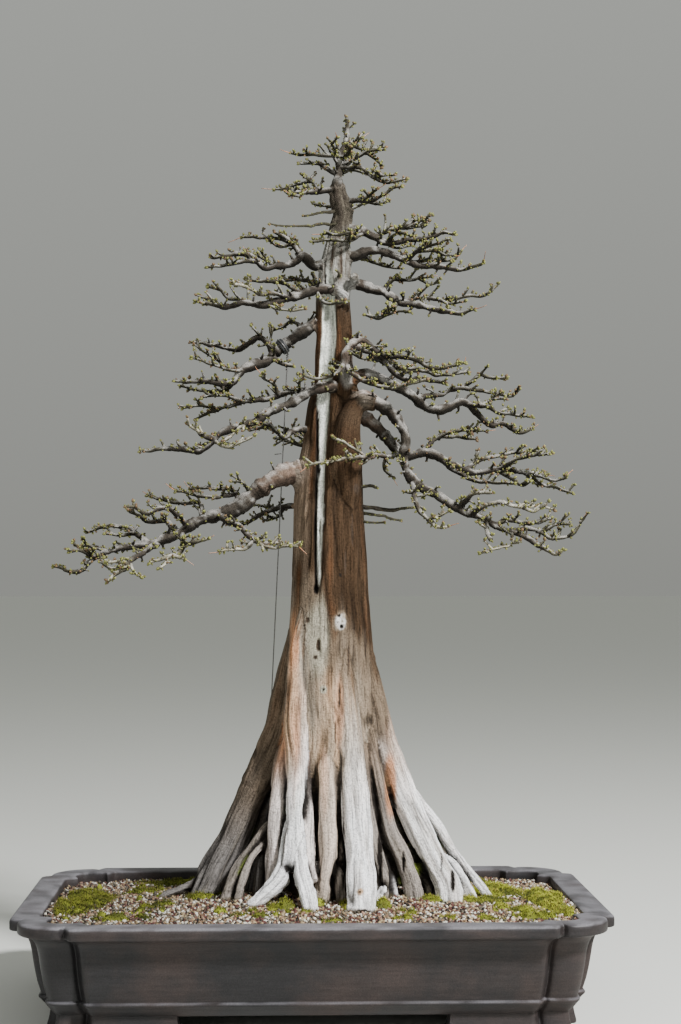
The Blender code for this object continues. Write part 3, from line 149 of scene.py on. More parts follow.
def lengthsAlong(route):
    return np.concatenate([[0], np.cumsum(np.linalg.norm(np.diff(route, axis=0), axis=1))])


def carriedFrames(route):
    # heading of each ring, and a side vector carried along the route without a twist
    heads = unit(np.gradient(route, axis=0))
    side = np.cross(heads[0], (0, 0, 1) if abs(heads[0, 2]) < 0.9 else (1, 0, 0))
    sides = np.empty_like(heads)
    for ring, head in enumerate(heads):
        side = side - head * side.dot(head)
        side = side / np.linalg.norm(side)
        sides[ring] = side
    return heads, sides, np.cross(heads, sides)


# Bundles gather many small shapes into one mesh

def newBundle():
    return {"points": [], "quads": [], "tris": [], "tone": [], "grain": [], "finish": [], "count": 0}


def addShape(bundle, points, quads, tris, tone=(0, 0, 0), grain=None, finish=0):
    start = bundle["count"]
    bundle["points"].append(points)
    bundle["quads"].append(np.asarray(quads, int).reshape(-1, 4) + start)
    bundle["tris"].append(np.asarray(tris, int).reshape(-1, 3) + start)
    bundle["tone"].append(np.broadcast_to(tone, (len(points), 3)))
    bundle["grain"].append(points if grain is None else grain)
    bundle["finish"].append((finish, len(bundle["quads"][-1]), len(bundle["tris"][-1])))
    bundle["count"] += len(points)


def sleeveFaces(rings, sides):
    # quads between rings of equal length, and a fan to a pole at either end
    j = np.arange(sides)
    k = (j + 1) % sides
    base = (np.arange(rings - 1) * sides)[:, None]
    quads = np.stack([base + j, base + k, base + sides + k, base + sides + j], axis=-1).reshape(-1, 4)
    poles, last = rings * sides, (rings - 1) * sides
    tris = np.vstack([np.column_stack([j * 0 + poles, k, j]),
                      np.column_stack([j * 0 + poles + 1, last + j, last + k])])
    return quads, tris


def addTube(bundle, route, radii, sides, tone=(0, 0, 0), lobes=0.0, seed=0.0, grainSize=0.003):
    # circles round the route, pushed in and out by lobes that wind slowly along it
    _, across, upward = carriedFrames(route)
    along = lengthsAlong(route)
    turns = np.linspace(0, 2 * np.pi, sides, endpoint=False)
    swell = 1 + lobes * (np.sin(3 * turns + seed + along[:, None] * 22)
                         + 0.6 * np.sin(5 * turns - seed * 2 - along[:, None] * 31))
    ring = np.cos(turns)[:, None] * across[:, None] + np.sin(turns)[:, None] * upward[:, None]
    shell = route[:, None] + ring * (radii[:, None] * swell)[..., None]
    points = np.vstack([shell.reshape(-1, 3), route[:1], route[-1:]])
    size, length = radii[:, None] / grainSize, along / (grainSize * 7)
    grain = np.stack([np.cos(turns) * size + seed * 17, np.sin(turns) * size + seed * 5,
                      np.repeat(length[:, None], sides, 1)], axis=-1)
    ends = [[seed * 17, seed * 5, 0], [seed * 17, seed * 5, length[-1]]]
    tone = np.asarray(tone, float)
    if tone.ndim == 2:
        tone = np.vstack([np.repeat(tone, sides, axis=0), tone[:1], tone[-1:]])
    addShape(bundle, points, *sleeveFaces(len(route), sides), tone, np.vstack([grain.reshape(-1, 3), ends]))


def meshFrom(name, points, quads, tris, tone=None, grain=None, finishes=None, smooth=True):
    # vertices, corners and faces go in as whole arrays
    quads = np.asarray(quads, np.int32).reshape(-1, 4)
    tris = np.asarray(tris, np.int32).reshape(-1, 3)
    mesh = bpy.data.meshes.new(name)
    mesh.vertices.add(len(points))
    mesh.vertices.foreach_set("co", np.asarray(points, np.float32).ravel())
    mesh.loops.add(quads.size + tris.size)
    mesh.loops.foreach_set("vertex_index", np.concatenate([quads.ravel(), tris.ravel()]))
    starts = np.concatenate([np.arange(len(quads)) * 4, quads.size + np.arange(len(tris)) * 3])
    mesh.polygons.add(len(starts))
    mesh.polygons.foreach_set("loop_start", starts.astype(np.int32))
    if finishes is not None:
        mesh.polygons.foreach_set("material_index", np.asarray(finishes, np.int32))
    mesh.update(calc_edges=True)
    mesh.validate()
    setAttributes(mesh, tone, grain)
    if smooth:
        mesh.shade_smooth()
    return mesh


def setAttributes(mesh, tone=None, grain=None):
    if tone is not None:
        colour = mesh.attributes.new("tone", "FLOAT_COLOR", "POINT")
        values = np.column_stack([np.clip(tone, 0, 1), np.ones(len(tone))])
        colour.data.foreach_set("color", values.astype(np.float32).ravel())
    if grain is not None:
        vector = mesh.attributes.new("grain", "FLOAT_VECTOR", "POINT")
        vector.data.foreach_set("vector", np.asarray(grain, np.float32).ravel())


def bundleMesh(bundle, name, tone=False, grain=False):
    # every shape of the bundle in one mesh, with its tones or its grain where they are asked for
    finishes = [np.full(shape[part], shape[0]) for part in (1, 2) for shape in bundle["finish"]]
    return meshFrom(name, *(np.vstack(bundle[key]) for key in ("points", "quads", "tris")),
                    np.vstack(bundle["tone"]) if tone else None,
                    np.vstack(bundle["grain"]) if grain else None, np.concatenate(finishes))


def linked(name, data):
    # a new object in the scene
    thing = bpy.data.objects.new(name, data)
    bpy.context.scene.collection.objects.link(thing)
    return thing


def reshaped(mesh, kind, **settings):
    # the mesh as one modifier leaves it, in place of the mesh that went in
    name, holder = mesh.name, linked(mesh.name, mesh)
    modifier = holder.modifiers.new("reshaped", kind)
    for key, value in settings.items():
        setattr(modifier, key, value)
    made = bpy.data.meshes.new_from_object(holder.evaluated_get(bpy.context.evaluated_depsgraph_get()))
    bpy.data.objects.remove(holder, do_unlink=True)
    bpy.data.meshes.remove(mesh)
    made.name = name
    return made


def addPiece(name, mesh, materials, replaces=()):
    # every finished piece sits at the origin and rides on the one body
    piece = linked(name, mesh)
    for material in materials:
        mesh.materials.append(material)
    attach(piece, "root")
    if replaces:
        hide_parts(*replaces)
    return piece


def vertexNormals(mesh):
    normals = np.empty(len(mesh.vertices) * 3, np.float32)
    mesh.vertices.foreach_get("normal", normals)
    return normals.reshape(-1, 3).astype(float)


def vertexPoints(mesh):
    points = np.empty(len(mesh.vertices) * 3, np.float32)
    mesh.vertices.foreach_get("co", points)
    return points.reshape(-1, 3).astype(float)


def setPoints(mesh, points):
    mesh.vertices.foreach_set("co", points.astype(np.float32).ravel())
    mesh.update()


# Materials: each takes its tones from the piece and adds grain, pits and roughness of its own

def newMaterial(name, roughness=0.8, metallic=0.0, specular=0.35):
    material = bpy.data.materials.new(name)
    material.use_nodes = True
    shader = material.node_tree.nodes["Principled BSDF"]
    shader.inputs["Roughness"].default_value = roughness
    shader.inputs["Metallic"].default_value = metallic
    shader.inputs["Specular IOR Level"].default_value = specular
    return material, material.node_tree, shader


def addNode(tree, kind, links=None, **settings):
    node = tree.nodes.new(kind)
    for key, value in settings.items():
        if key in ("operation", "attribute_name"):
            setattr(node, key, value)
        else:
            node.inputs[key].default_value = value
    for socket, source in (links or {}).items():
        tree.links.new(source, node.inputs[socket])
    return node


def attributeNode(tree, name, output="Color"):
    return addNode(tree, "ShaderNodeAttribute", attribute_name=name).outputs[output]


def placeNode(tree):
    return tree.nodes.new("ShaderNodeTexCoord").outputs["Object"]


def noiseNode(tree, place, scale, detail, roughness=0.6):
    return addNode(tree, "ShaderNodeTexNoise", {"Vector": place}, Scale=scale, Detail=detail,
                   Roughness=roughness).outputs["Fac"]


def dressShader(tree, shader, colour, height, strength, depth):
    # the finished colour and the relief of the material
    tree.links.new(colour, shader.inputs["Base Color"])
    bump = addNode(tree, "ShaderNodeBump", {"Height": height}, Strength=strength, Distance=depth)
    tree.links.new(bump.outputs["Normal"], shader.inputs["Normal"])


def mixTones(tree, mode, factor, first, second):
    # a Mix node on colours: factor, first and second are values or sockets
    node = tree.nodes.new("ShaderNodeMix")
    node.data_type = "RGBA"
    node.blend_type = mode
    for socket, value in ((node.inputs[0], factor), (node.inputs[6], first), (node.inputs[7], second)):
        if isinstance(value, bpy.types.NodeSocket):
            tree.links.new(value, socket)
        elif isinstance(value, (int, float)):
            socket.default_value = value
        else:
            socket.default_value = (*value, 1.0)
    return node.outputs[2]


def rampNode(tree, source, stops):
    # colour ramp with the given (position, tone) stops, where one number stands for a grey
    node = tree.nodes.new("ShaderNodeValToRGB")
    tree.links.new(source, node.inputs["Fac"])
    elements = node.color_ramp.elements
    while len(elements) < len(stops):
        elements.new(0.5)
    for element, (position, tone) in zip(elements, stops):
        element.position = position
        element.color = (*(tone if isinstance(tone, tuple) else (tone, tone, tone)), 1.0)
    return node.outputs["Color"]


def shadedBy(tree, tone, source, stops):
    # the tone times the colour ramp of the source
    return mixTones(tree, "MULTIPLY", 1.0, tone, rampNode(tree, source, stops))


def barkMaterial(name, look):
    # long grain from the piece's own grain attribute, fine pits from object coordinates
    material, tree, shader = newMaterial(name, look["roughness"], 0.0, look["specular"])
    tone, grain = attributeNode(tree, "tone"), attributeNode(tree, "grain", "Vector")
    streaks = noiseNode(tree, grain, 1.0, 5.0, 0.62)
    pits = noiseNode(tree, placeNode(tree), look["pitScale"], 3.0)
    colour = shadedBy(tree, shadedBy(tree, tone, streaks, look["streaks"]), pits, look["pits"])
    height = addNode(tree, "ShaderNodeMath", {0: streaks, 1: pits}, operation="ADD").outputs[0]
    dressShader(tree, shader, colour, height, look["bump"], look["bumpDepth"])
    return material


trunkLook = {"roughness": 0.90, "specular": 0.07, "pitScale": 420.0, "bump": 1.0, "bumpDepth": 0.0018,
             "streaks": [(0.32, 0.34), (0.42, 0.72), (0.51, 1.0), (0.70, 1.22)],
             "pits": [(0.34, 0.62), (0.50, 1.0), (0.75, 1.12)]}
limbLook = {"roughness": 0.84, "specular": 0.12, "pitScale": 520.0, "bump": 0.9, "bumpDepth": 0.0009,
            "streaks": [(0.32, 0.45), (0.46, 0.90), (0.70, 1.15)],
            "pits": [(0.36, 0.55), (0.52, 1.0), (0.72, 1.25)]}
trunkBark = barkMaterial("trunkBark", trunkLook)
limbBark = barkMaterial("limbBark", limbLook)


def tonedMaterial(name, roughness, spread, scale, bumpDepth, specular=0.35):
    # the piece's tones, made a little lighter and darker by a fine noise that is also its relief
    material, tree, shader = newMaterial(name, roughness, 0.0, specular)
    fine = noiseNode(tree, placeNode(tree), scale, 4.0)
    stops = [(0.3, 1 - spread), (0.5, 1.0), (0.7, 1 + spread)]
    colour = shadedBy(tree, attributeNode(tree, "tone"), fine, stops)
    dressShader(tree, shader, colour, fine, 0.8, bumpDepth)
    return material


def plainMaterial(name, tone, roughness, metallic, scale, spread):
    # one tone, mottled by a fine noise that also roughens it
    material, tree, shader = newMaterial(name, roughness, metallic)
    fine = noiseNode(tree, placeNode(tree), scale, 4.0, 0.5)
    low, high = (tuple(part * share for part in tone) for share in (1 - spread, 1 + spread))
    dressShader(tree, shader, rampNode(tree, fine, [(0.35, low), (0.65, high)]), fine, 0.4, 0.0003)
    return material


budScales = tonedMaterial("budScales", 0.55, 0.22, 900.0, 0.0003)
gritStone = tonedMaterial("gritStone", 0.78, 0.18, 700.0, 0.0004)
mossLeaf = tonedMaterial("mossLeaf", 0.75, 0.30, 260.0, 0.0008, 0.2)


def soilHeight(x, y):
    # a low mound round the trunk that falls towards the pot's walls
    away = np.hypot((x - sketch["trunkX"]) / 0.30, y / 0.21)
    mound = 0.004 * np.exp(-3.0 * away * away)
    edge = -0.012 * np.minimum(1.0, away) ** 3 * (0.6 + 0.4 * np.tanh(y / 0.08))
    return sketch["soilLevel"] - 0.001 + mound + edge + 0.0012 * np.sin(31 * x + 1.3) * np.sin(37 * y)


# The trunk and its roots

trunkEdges = [
    (-7, -54, 40), (50, -56, 40), (92, -56, 40), (132, -56, 40), (172, -56, 39), (212, -55, 36),
    (252, -53, 32), (292, -50, 28), (340, -47.5, 26), (392, -46.5, 23), (420, -43, 22), (448, -38, 20),
    (478, -34, 20), (492, -32, 23), (506, -26, 17), (532, -25, 12), (562, -24, 12), (592, -24, 10),
    (626, -21, 11), (652, -14, 10), (670, -10, 11), (680, -7, 13), (692, -11, 11), (702, -11, 6),
    (711, -10, 4),
]

rootLines = [
    (11, 16, [(-36, 300, 12), (-46, 252, 11), (-51, 224, 10), (-57, 188, 9), (-63, 159, 8), (-74, 131, 8),
              (-84, 109, 8), (-97, 80, 7), (-109, 51, 6), (-122, 26, 5), (-137, -8, 3)]),
    (8, 12, [(-40, 240, 16), (-60, 150, 18), (-76, 85, 20), (-90, 32, 22), (-98, -10, 24)]),
    (7, 3, [(-124, 26, 10), (-150, 8, 4), (-172, 0, -2), (-182, -8, -6)]),
    (6, 7, [(-62, 88, -26), (-74, 64, -22), (-88, 44, -26), (-100, 26, -31), (-109, 6, -34),
            (-113, -10, -36)]),
    (5, 4, [(-64, 74, -28), (-76, 54, -26), (-90, 36, -34), (-99, 12, -42), (-104, -10, -45)]),
    (10, 8, [(-42, 192, -8), (-54, 142, -20), (-60, 102, -26), (-64, 62, -30), (-67, 30, -30),
             (-70, -10, -29)]),
    (9, 11, [(-34, 292, -10), (-42, 252, -20), (-44, 212, -26), (-45, 172, -30), (-43, 132, -34),
             (-43, 92, -38), (-44, 52, -44), (-48, 30, -50)]),
    (10, 6, [(-46, 96, -34), (-49, 62, -41), (-53, 32, -50), (-62, 13, -57), (-76, 0, -62),
             (-90, -14, -69)]),
    (10, 7, [(-40, 100, -34), (-40, 62, -42), (-39, 34, -53), (-36, 14, -70), (-32, -3, -86),
             (-28, -26, -101)]),
    (12, 8, [(-15, 235, -8), (-14, 162, -26), (-12, 112, -37), (-11, 72, -45), (-11, 36, -51),
             (-15, 12, -52), (-17, -14, -53)]),
    (6, 5, [(-7, 40, -50), (-2, 14, -53), (-1, -12, -56)]),
    (9, 13, [(1, 290, -14), (4, 232, -26), (7, 192, -32), (10, 152, -36), (13, 112, -42), (16, 72, -52),
             (19, 32, -64), (21, 7, -82), (21, -22, -99)]),
    (5, 7, [(42, 84, -27), (41, 50, -24), (46, 27, -26), (50, 8, -28), (50, -12, -31)]),
    (4, 3, [(46, 12, -28), (40, 0, -56), (34, -8, -76), (27, -26, -92)]),
    (6, 10, [(24, 190, -12), (34, 132, -23), (41, 92, -28), (48, 62, -28), (60, 37, -28), (70, 14, -31),
             (75, -12, -35)]),
    (7, 4, [(66, 34, -26), (83, 12, -24), (94, -8, -27)]),
    (9, 13, [(22, 262, 2), (34, 212, -6), (45, 152, -12), (57, 112, -16), (69, 82, -18), (83, 52, -22),
             (96, 27, -28), (107, 7, -37), (109, -16, -46)]),
    (8, 6, [(102, 38, -18), (121, 12, -22), (133, -10, -27)]),
    (6, 4, [(56, 128, -10), (78, 92, -6), (96, 69, -4), (107, 51, -7), (121, 30, -12), (134, 14, -15),
            (145, 1, -18), (151, -14, -20)]),
    (4, 4, [(84, 84, -4), (98, 62, 5), (114, 40, 9), (128, 22, 12), (140, 4, 15), (146, -9, 16)]),
    (9, 10, [(30, 180, 4), (56, 110, 6), (80, 70, 8), (98, 38, 12), (112, 10, 16), (118, -12, 18)]),
    (8, 8, [(26, 150, -4), (40, 110, -4), (58, 70, -6), (74, 38, -8), (86, 10, -10), (90, -12, -10)]),
    (7, 8, [(-32, 260, -10), (-35, 200, -20), (-34, 150, -28), (-34, 110, -33), (-34, 76, -39),
            (-34, 50, -46), (-33, 28, -56), (-31, 12, -66)]),
    (6, 6, [(-4, 220, -16), (-4, 150, -31), (-4, 100, -38), (-4, 60, -44), (-3, 30, -47), (-6, -12, -48)]),
    (7, 7, [(14, 200, -18), (22, 130, -26), (28, 84, -31), (34, 44, -36), (42, 18, -34), (44, -12, -34)]),
    (6, 7, [(-50, 170, -10), (-60, 110, -18), (-66, 66, -20), (-76, 34, -20), (-80, -10, -20)]),
]
# Wood of each of these roots in turn, then of the ones at the back
rootKinds = ("dark dark dark umber umber pink white white white tan umber silver silver white umber umber "
             "rust white silver silver umber umber pink tan umber dark").split() + ["umber"] * 6

backRoots = [
    (110, 0.165, 10), (132, 0.150, 13), (154, 0.140, 9), (176, 0.150, 12), (198, 0.135, 9),
    (220, 0.150, 12),
]

trunkShoots = [
    (1.4, 0.8, [(-4, 683, 8), (-20, 681, 0), (-37, 678, -6)]),
    (1.2, 0.6, [(-4, 670, 6), (-24, 669, -4), (-41, 667, -10), (-70, 669, -18)]),
    (2.4, 1.0, [(18, 386, 8), (36, 384, 2), (52, 382, -2), (73, 385, -6)]),
    (1.4, 0.8, [(18, 379, 14), (40, 377, 22), (50, 373, 26), (60, 372, 30)]),
    (1.6, 1.2, [(14, 405, 4), (30, 407, -2), (36, 405, -6)]),
    (1.3, 0.8, [(16, 371, 6), (34, 370, -4), (44, 370, -8)]),
    (1.2, 0.7, [(-2, 617, 0), (0, 618, -22), (-4, 622, -28)]),
]
trunkKnots = [
    (6, (0, 270, -24)), (4, (-17, 203, -32)), (6.3, (14, 615.5, -6)), (4, (27, 286, 6)), (4, (34, 234, 6)),
    (6, (8, 516, -19)), (5, (-3, 605, -14)), (5.5, (4, 597, -13)), (4.5, (-1, 591, -12)),
    (4, (14, 506, -20)),
]
# Swellings that flow from the trunk into a limb, as (radii along it, points)
trunkBurls = [
    ([8, 14, 16.5, 16, 13, 9.8, 8.3],
     [(7, 378, -2), (5, 420, -9), (5, 448, -13), (8, 470, -15),
      (14, 484, -16), (23, 491, -14), (36, 489, -16)]),
    ([10, 12, 13, 11], [(-30, 370, 8), (-32, 396, 8), (-38, 416, 6), (-50, 419, 4)]),
    ([3, 4, 5.5, 5], [(7, 584, 2), (6, 592, -5), (1, 600, -9), (-7, 603, -12)]),
    ([4, 7, 6.4, 5], [(4, 494, -8), (5, 506, -14), (6, 518, -18), (5, 528, -19)]),
]
trunkForm = {"axisDepth": 12, "roundness": 0.92, "sides": 84, "ringPitch": 3.0, "voxel": 0.0021,
             "grooveDepth": 6.5, "rolledEdge": 1.6, "crackDepth": 7.0, "rootLobes": 0.06, "girth": 0.045,
             "frontFill": 0.24, "ridge": 0.0009, "broad": 0.0015, "split": 0.0017, "crease": 0.0052,
             "ragged": 0.0013, "nearCrest": 0.0011, "farCrest": 0.0032, "kept": 0.54,
             "grainSize": (0.0016, 0.0016, 0.028), "burlOval": (6, 452, 16.5, 44),
             "smoothOval": (8, 462, 18, 40), "forkOval": (-42, 52, 20, 30)}
# Heights between which one wood passes into the next
trunkZones = {"bark": (176, 284), "roots": (215, 120), "rootFoot": (168, 72), "core": (118, 58),
              "deadwood": (578, 612), "leader": (646, 672)}
# Edges of the plain face in painted shade and of the orange strip at the left, as (height, x)
shadedFaceEdge = [(40, -80), (60, -76), (100, -72), (150, -60), (190, -54), (240, -51), (290, -50), (330, -52)]
orangeStripEdge = [(90, -50), (130, -40), (200, -38), (270, -44)]
# Marks in the wood as (x, height, half width, half height, push inwards, tone); the near-black cavity marks
# are painted shade in the hollows and crevices they push in
trunkMarks = [
    (-0.5, 270, 7.4, 10.8, -1.0, "umber"), (-0.5, 270, 4.9, 8.0, -1.2, "scar"),
    (-3.6, 266, 1.3, 3.6, 0.6, "greyWood"), (2.9, 276, 1.5, 2.6, 0.5, "greyWood"),
    (-1.6, 276.5, 1.6, 1.6, 2.6, "cavityShade"), (1.0, 265.5, 1.9, 2.2, 2.8, "cavityShade"),
    (1.6, 271, 1.2, 1.3, 1.6, "plaster"), (-2.4, 270, 1.1, 1.5, 1.2, "umberDark"),
    (-17, 203, 3.8, 4.2, -0.6, "plaster"), (-17, 203, 1.4, 1.6, 1.5, "cavityShade"),
    (16, 404, 3.4, 4.8, -0.4, "umberDark"), (0, 317, 1.5, 1.5, 0.6, "cavityShade"),
    (-21, 422, 1.1, 9, 1.6, "cavityShade"), (-20.5, 365, 1.0, 8, 1.6, "cavityShade"),
    (-24, 303, 2.6, 6, 3.5, "cavityShade"), (-22, 247, 2.4, 6.5, 2.4, "umberDark"),
    (-25, 235, 2.4, 2.0, 1.0, "umberDark"), (-33, 272, 2.2, 3.4, 0.8, "umberDark"),
    (-8, 12, 3.4, 7, 4.5, "cavityShade"), (-25, 76, 1.4, 56, 3.0, "cavityShade"), (3, 38, 1.5, 36, 3.0, "cavityShade"),
    (39.5, 42, 2.6, 40, 3.0, "cavityShade"), (112, 12, 2.2, 11, 5.0, "cavityShade"), (101, 31, 0.9, 9, 2.0, "cavityShade"),
    (63, 32, 1.6, 10, 3.0, "cavityShade"), (20, 2, 3.4, 3.4, -0.6, "tan"), (20, 2, 1.2, 1.2, 1.0, "cavityShade"),
    (-15, 617, 1.2, 17, 1.6, "cavityShade"), (-8, 636, 0.8, 12, 1.0, "umberDark"),
    (1, 630, 0.9, 15, 1.2, "umberDark"), (-24, 404, 1.5, 7, 1.6, "cavityShade"),
    (5, 330, 0.9, 12, 0.8, "umberDark"), (12, 362, 0.8, 16, 0.8, "umberDark"),
    (-1, 196, 1.2, 13, 1.4, "umberDark"), (-5, 160, 1.0, 12, 1.6, "cavityShade"),
    (25, 250, 1.0, 14, 1.2, "umberDark"), (8, 232, 1.0, 16, 1.0, "umberDark"),
]
# Broad soft patches of another tone as (x, height, half width, half height, tone, strength)
trunkPatches = [
    (6, 520, 9, 17, "gnarl", 0.9), (10, 603, 15, 11, "burl", 0.8), (-42, 420, 15, 15, "pinkBark", 0.7),
    (-24, 560, 5, 14, "rust", 0.6), (-27, 528, 4, 30, "rust", 0.35), (-2, 548, 4, 24, "rust", 0.35),
    (12, 474, 13, 12, "barkPale", 0.4), (-21, 255, 12, 46, "plaster", 0.75),
    (8, 440, 13, 30, "barkSmooth", 0.7), (24, 380, 9, 60, "barkDark", 0.45),
    (26, 200, 13, 60, "umber", 0.45), (50, 106, 7, 38, "orange", 0.9), (-1, 178, 6, 42, "orange", 0.45),
    (38, 184, 13, 34, "umber", 0.85), (4, 238, 21, 24, "umber", 0.65), (-30, 300, 14, 22, "umber", 0.6),
    (-40, 395, 12, 78, "barkLeft", 0.7), (-16, 110, 5, 40, "orange", 0.3),
]
# The pale strip of deadwood, as (height, left edge, right edge)
shariEdges = np.array([
    (290, -23, -22), (303, -24, -21), (330, -24.6, -19.5), (372, -25, -17.5), (442, -22.5, -14.5),
    (491, -23, -11), (514, -21, -9), (533, -20, -6.5), (558, -18, -4.5), (584, -17.5, -5.5),
    (613, -15, -7), (626, -13.5, -11)], float)


def trunkEdgesAt(heights):
    edges = np.array(trunkEdges, float)
    left = np.interp(heights, edges[:, 0], edges[:, 1])
    right = np.interp(heights, edges[:, 0], edges[:, 2])
    return left, right


def ovalDistance(x, z, oval):
    # 1 on the edge of the oval given as (x, height, half width, half height)
    return np.hypot((x - oval[0]) / oval[2], (z - oval[1]) / oval[3])


def shariAt(heights):
    return (np.interp(heights, shariEdges[:, 0], shariEdges[:, 1]),
            np.interp(heights, shariEdges[:, 0], shariEdges[:, 2]))


def depthShare(heights, front):
    # how deep the column is for its width: low down it is fuller at the front
    return trunkForm["roundness"] + trunkForm["frontFill"] * ramp(340, 170, heights) * front


def trunkColumn():
    # an oval round the trunk's line at each height, ribbed in depth, with the deadwood strip sunk
    heights = np.arange(trunkEdges[0][0], trunkEdges[-1][0] + 0.1, trunkForm["ringPitch"])[:, None]
    left, right = trunkEdgesAt(heights)
    middle, half = (left + right) / 2, (right - left) / 2
    turns = np.linspace(0, 2 * np.pi, trunkForm["sides"], endpoint=False)[None]
    low = np.clip(1 - heights / 300, 0, 1)
    ribs = 0.035 * np.sin(5 * turns + heights / 70) + 0.045 * low * np.sin(9 * turns + 1)
    ribs = ribs + 0.02 * np.sin(13 * turns - heights / 50)
    spread = 1 + ribs * np.sin(turns) ** 2
    x = middle + half * spread * np.cos(turns)
    y = trunkForm["axisDepth"] + half * depthShare(heights, np.sin(turns) < 0) * spread * np.sin(turns)
    shariLeft, shariRight = shariAt(heights)
    here = ramp(285, 320, heights) * ramp(632, 600, heights) * ramp(0.1, -0.5, np.sin(turns))
    inside = ramp(-1.5, 2.0, x - shariLeft) * ramp(2.0, -1.5, x - shariRight)
    rolled = hill(0, 3.5, x - shariRight - 4.5) + 0.7 * hill(0, 3.0, x - shariLeft + 4.0)
    y = y + here * (trunkForm["grooveDepth"] * inside - trunkForm["rolledEdge"] * rolled)
    grid = np.stack([x, heights + 0 * turns, y], axis=-1)
    points = fromSketch(grid.reshape(-1, 3))
    sides = trunkForm["sides"]
    points = np.vstack([points, points[:sides].mean(axis=0), points[-sides:].mean(axis=0)])
    return points, *sleeveFaces(len(heights), sides)


def backRoot(turn, reach, foot):
    # leaves the trunk high up and runs out to its foot: reach grows with share to the power 1.4
    way = np.array([math.sin(math.radians(turn)), -math.cos(math.radians(turn)), 0.0])
    share = np.linspace(0, 1, 9)[:, None]
    out = 0.038 + (reach - 0.038) * share ** 1.4
    rise = 0.25 * (1 - share) ** 1.2 - 0.012 * share ** 3 + sketch["soilLevel"]
    axis = np.array([sketch["trunkX"] - 0.008, trunkForm["axisDepth"] * step, 0.0])
    return axis + way * out + np.array([0, 0, 1.0]) * rise, [0.010, 0.010, foot * step]


def trunkTubes():
    # the route and the radii of every root and of every swelling
    lines = [(fromSketch(line), [top * step, foot * step]) for top, foot, line in rootLines]
    lines += [backRoot(*root) for root in backRoots]
    tubes = []
    for number, (line, stations) in enumerate(lines):
        route, radii = smoothRoute(line, stations, 0.004)
        marks = np.column_stack([lengthsAlong(route) / 0.02, radii * 0 + number, radii * 0])
        share = np.linspace(0, 1, len(route))
        full = 1.07 + 0.14 * hill(0.55, 0.25, share) * (np.abs(toSketch(route)[:, 0]) < 84)
        full = full * (0.50 + 0.50 * ramp(0, 0.32, share))
        tubes.append((route, radii * (full + 0.06 * cellNoise(marks))))
    for stations, line in trunkBurls:
        tubes.append(smoothRoute(fromSketch(line), [s * step for s in stations], 0.003))
    return tubes


def trunkParts(tubes):
    # every closed tube, lump and collar that the grown trunk is made of
    parts = newBundle()
    addShape(parts, *trunkColumn())
    for number, (route, radii) in enumerate(tubes):
        addTube(parts, route, radii, 20, lobes=trunkForm["rootLobes"], seed=number * 1.7)
    for strokes in limbLines.values():
        *stations, line = strokes[0]
        start, end = fromSketch(line[:2])
        size = stations[0] * step
        share = np.linspace(0, 1.0, 9)[:, None]
        girth = size * (0.93 + 0.40 * (1 - share[:, 0]) ** 1.3)
        addTube(parts, start + (end - start) * share, girth, 14, lobes=0.03, seed=size * 900)
    turns = np.linspace(0, np.pi, 9)
    for radius, place in trunkKnots:
        route = fromSketch([place]) + np.column_stack([turns * 0, turns * 0, -np.cos(turns) * radius * step])
        addTube(parts, route, np.maximum(np.sin(turns), 0.03) * radius * step, 14)
    return parts


def voxelJoined(bundle, name, voxel):
    # all the closed shapes fused into one skin of even small faces
    return reshaped(bundleMesh(bundle, name), "REMESH", mode="VOXEL", voxel_size=voxel)


def neighbourMean(points, edges, rounds, share=0.5):
    # moves every point part of the way to the mean of its neighbours, a few times over
    count = np.bincount(edges.ravel(), minlength=len(points))
    for _ in range(rounds):
        total = np.stack([np.bincount(edges[:, 0], points[edges[:, 1], a], len(points))
                          + np.bincount(edges[:, 1], points[edges[:, 0], a], len(points))
                          for a in range(points.shape[1])], axis=1)
        points = points * (1 - share) + total / count[:, None] * share
    return points


def meshEdges(mesh):
    edges = np.empty(len(mesh.edges) * 2, np.int32)
    mesh.edges.foreach_get("vertices", edges)
    return edges.reshape(-1, 2)


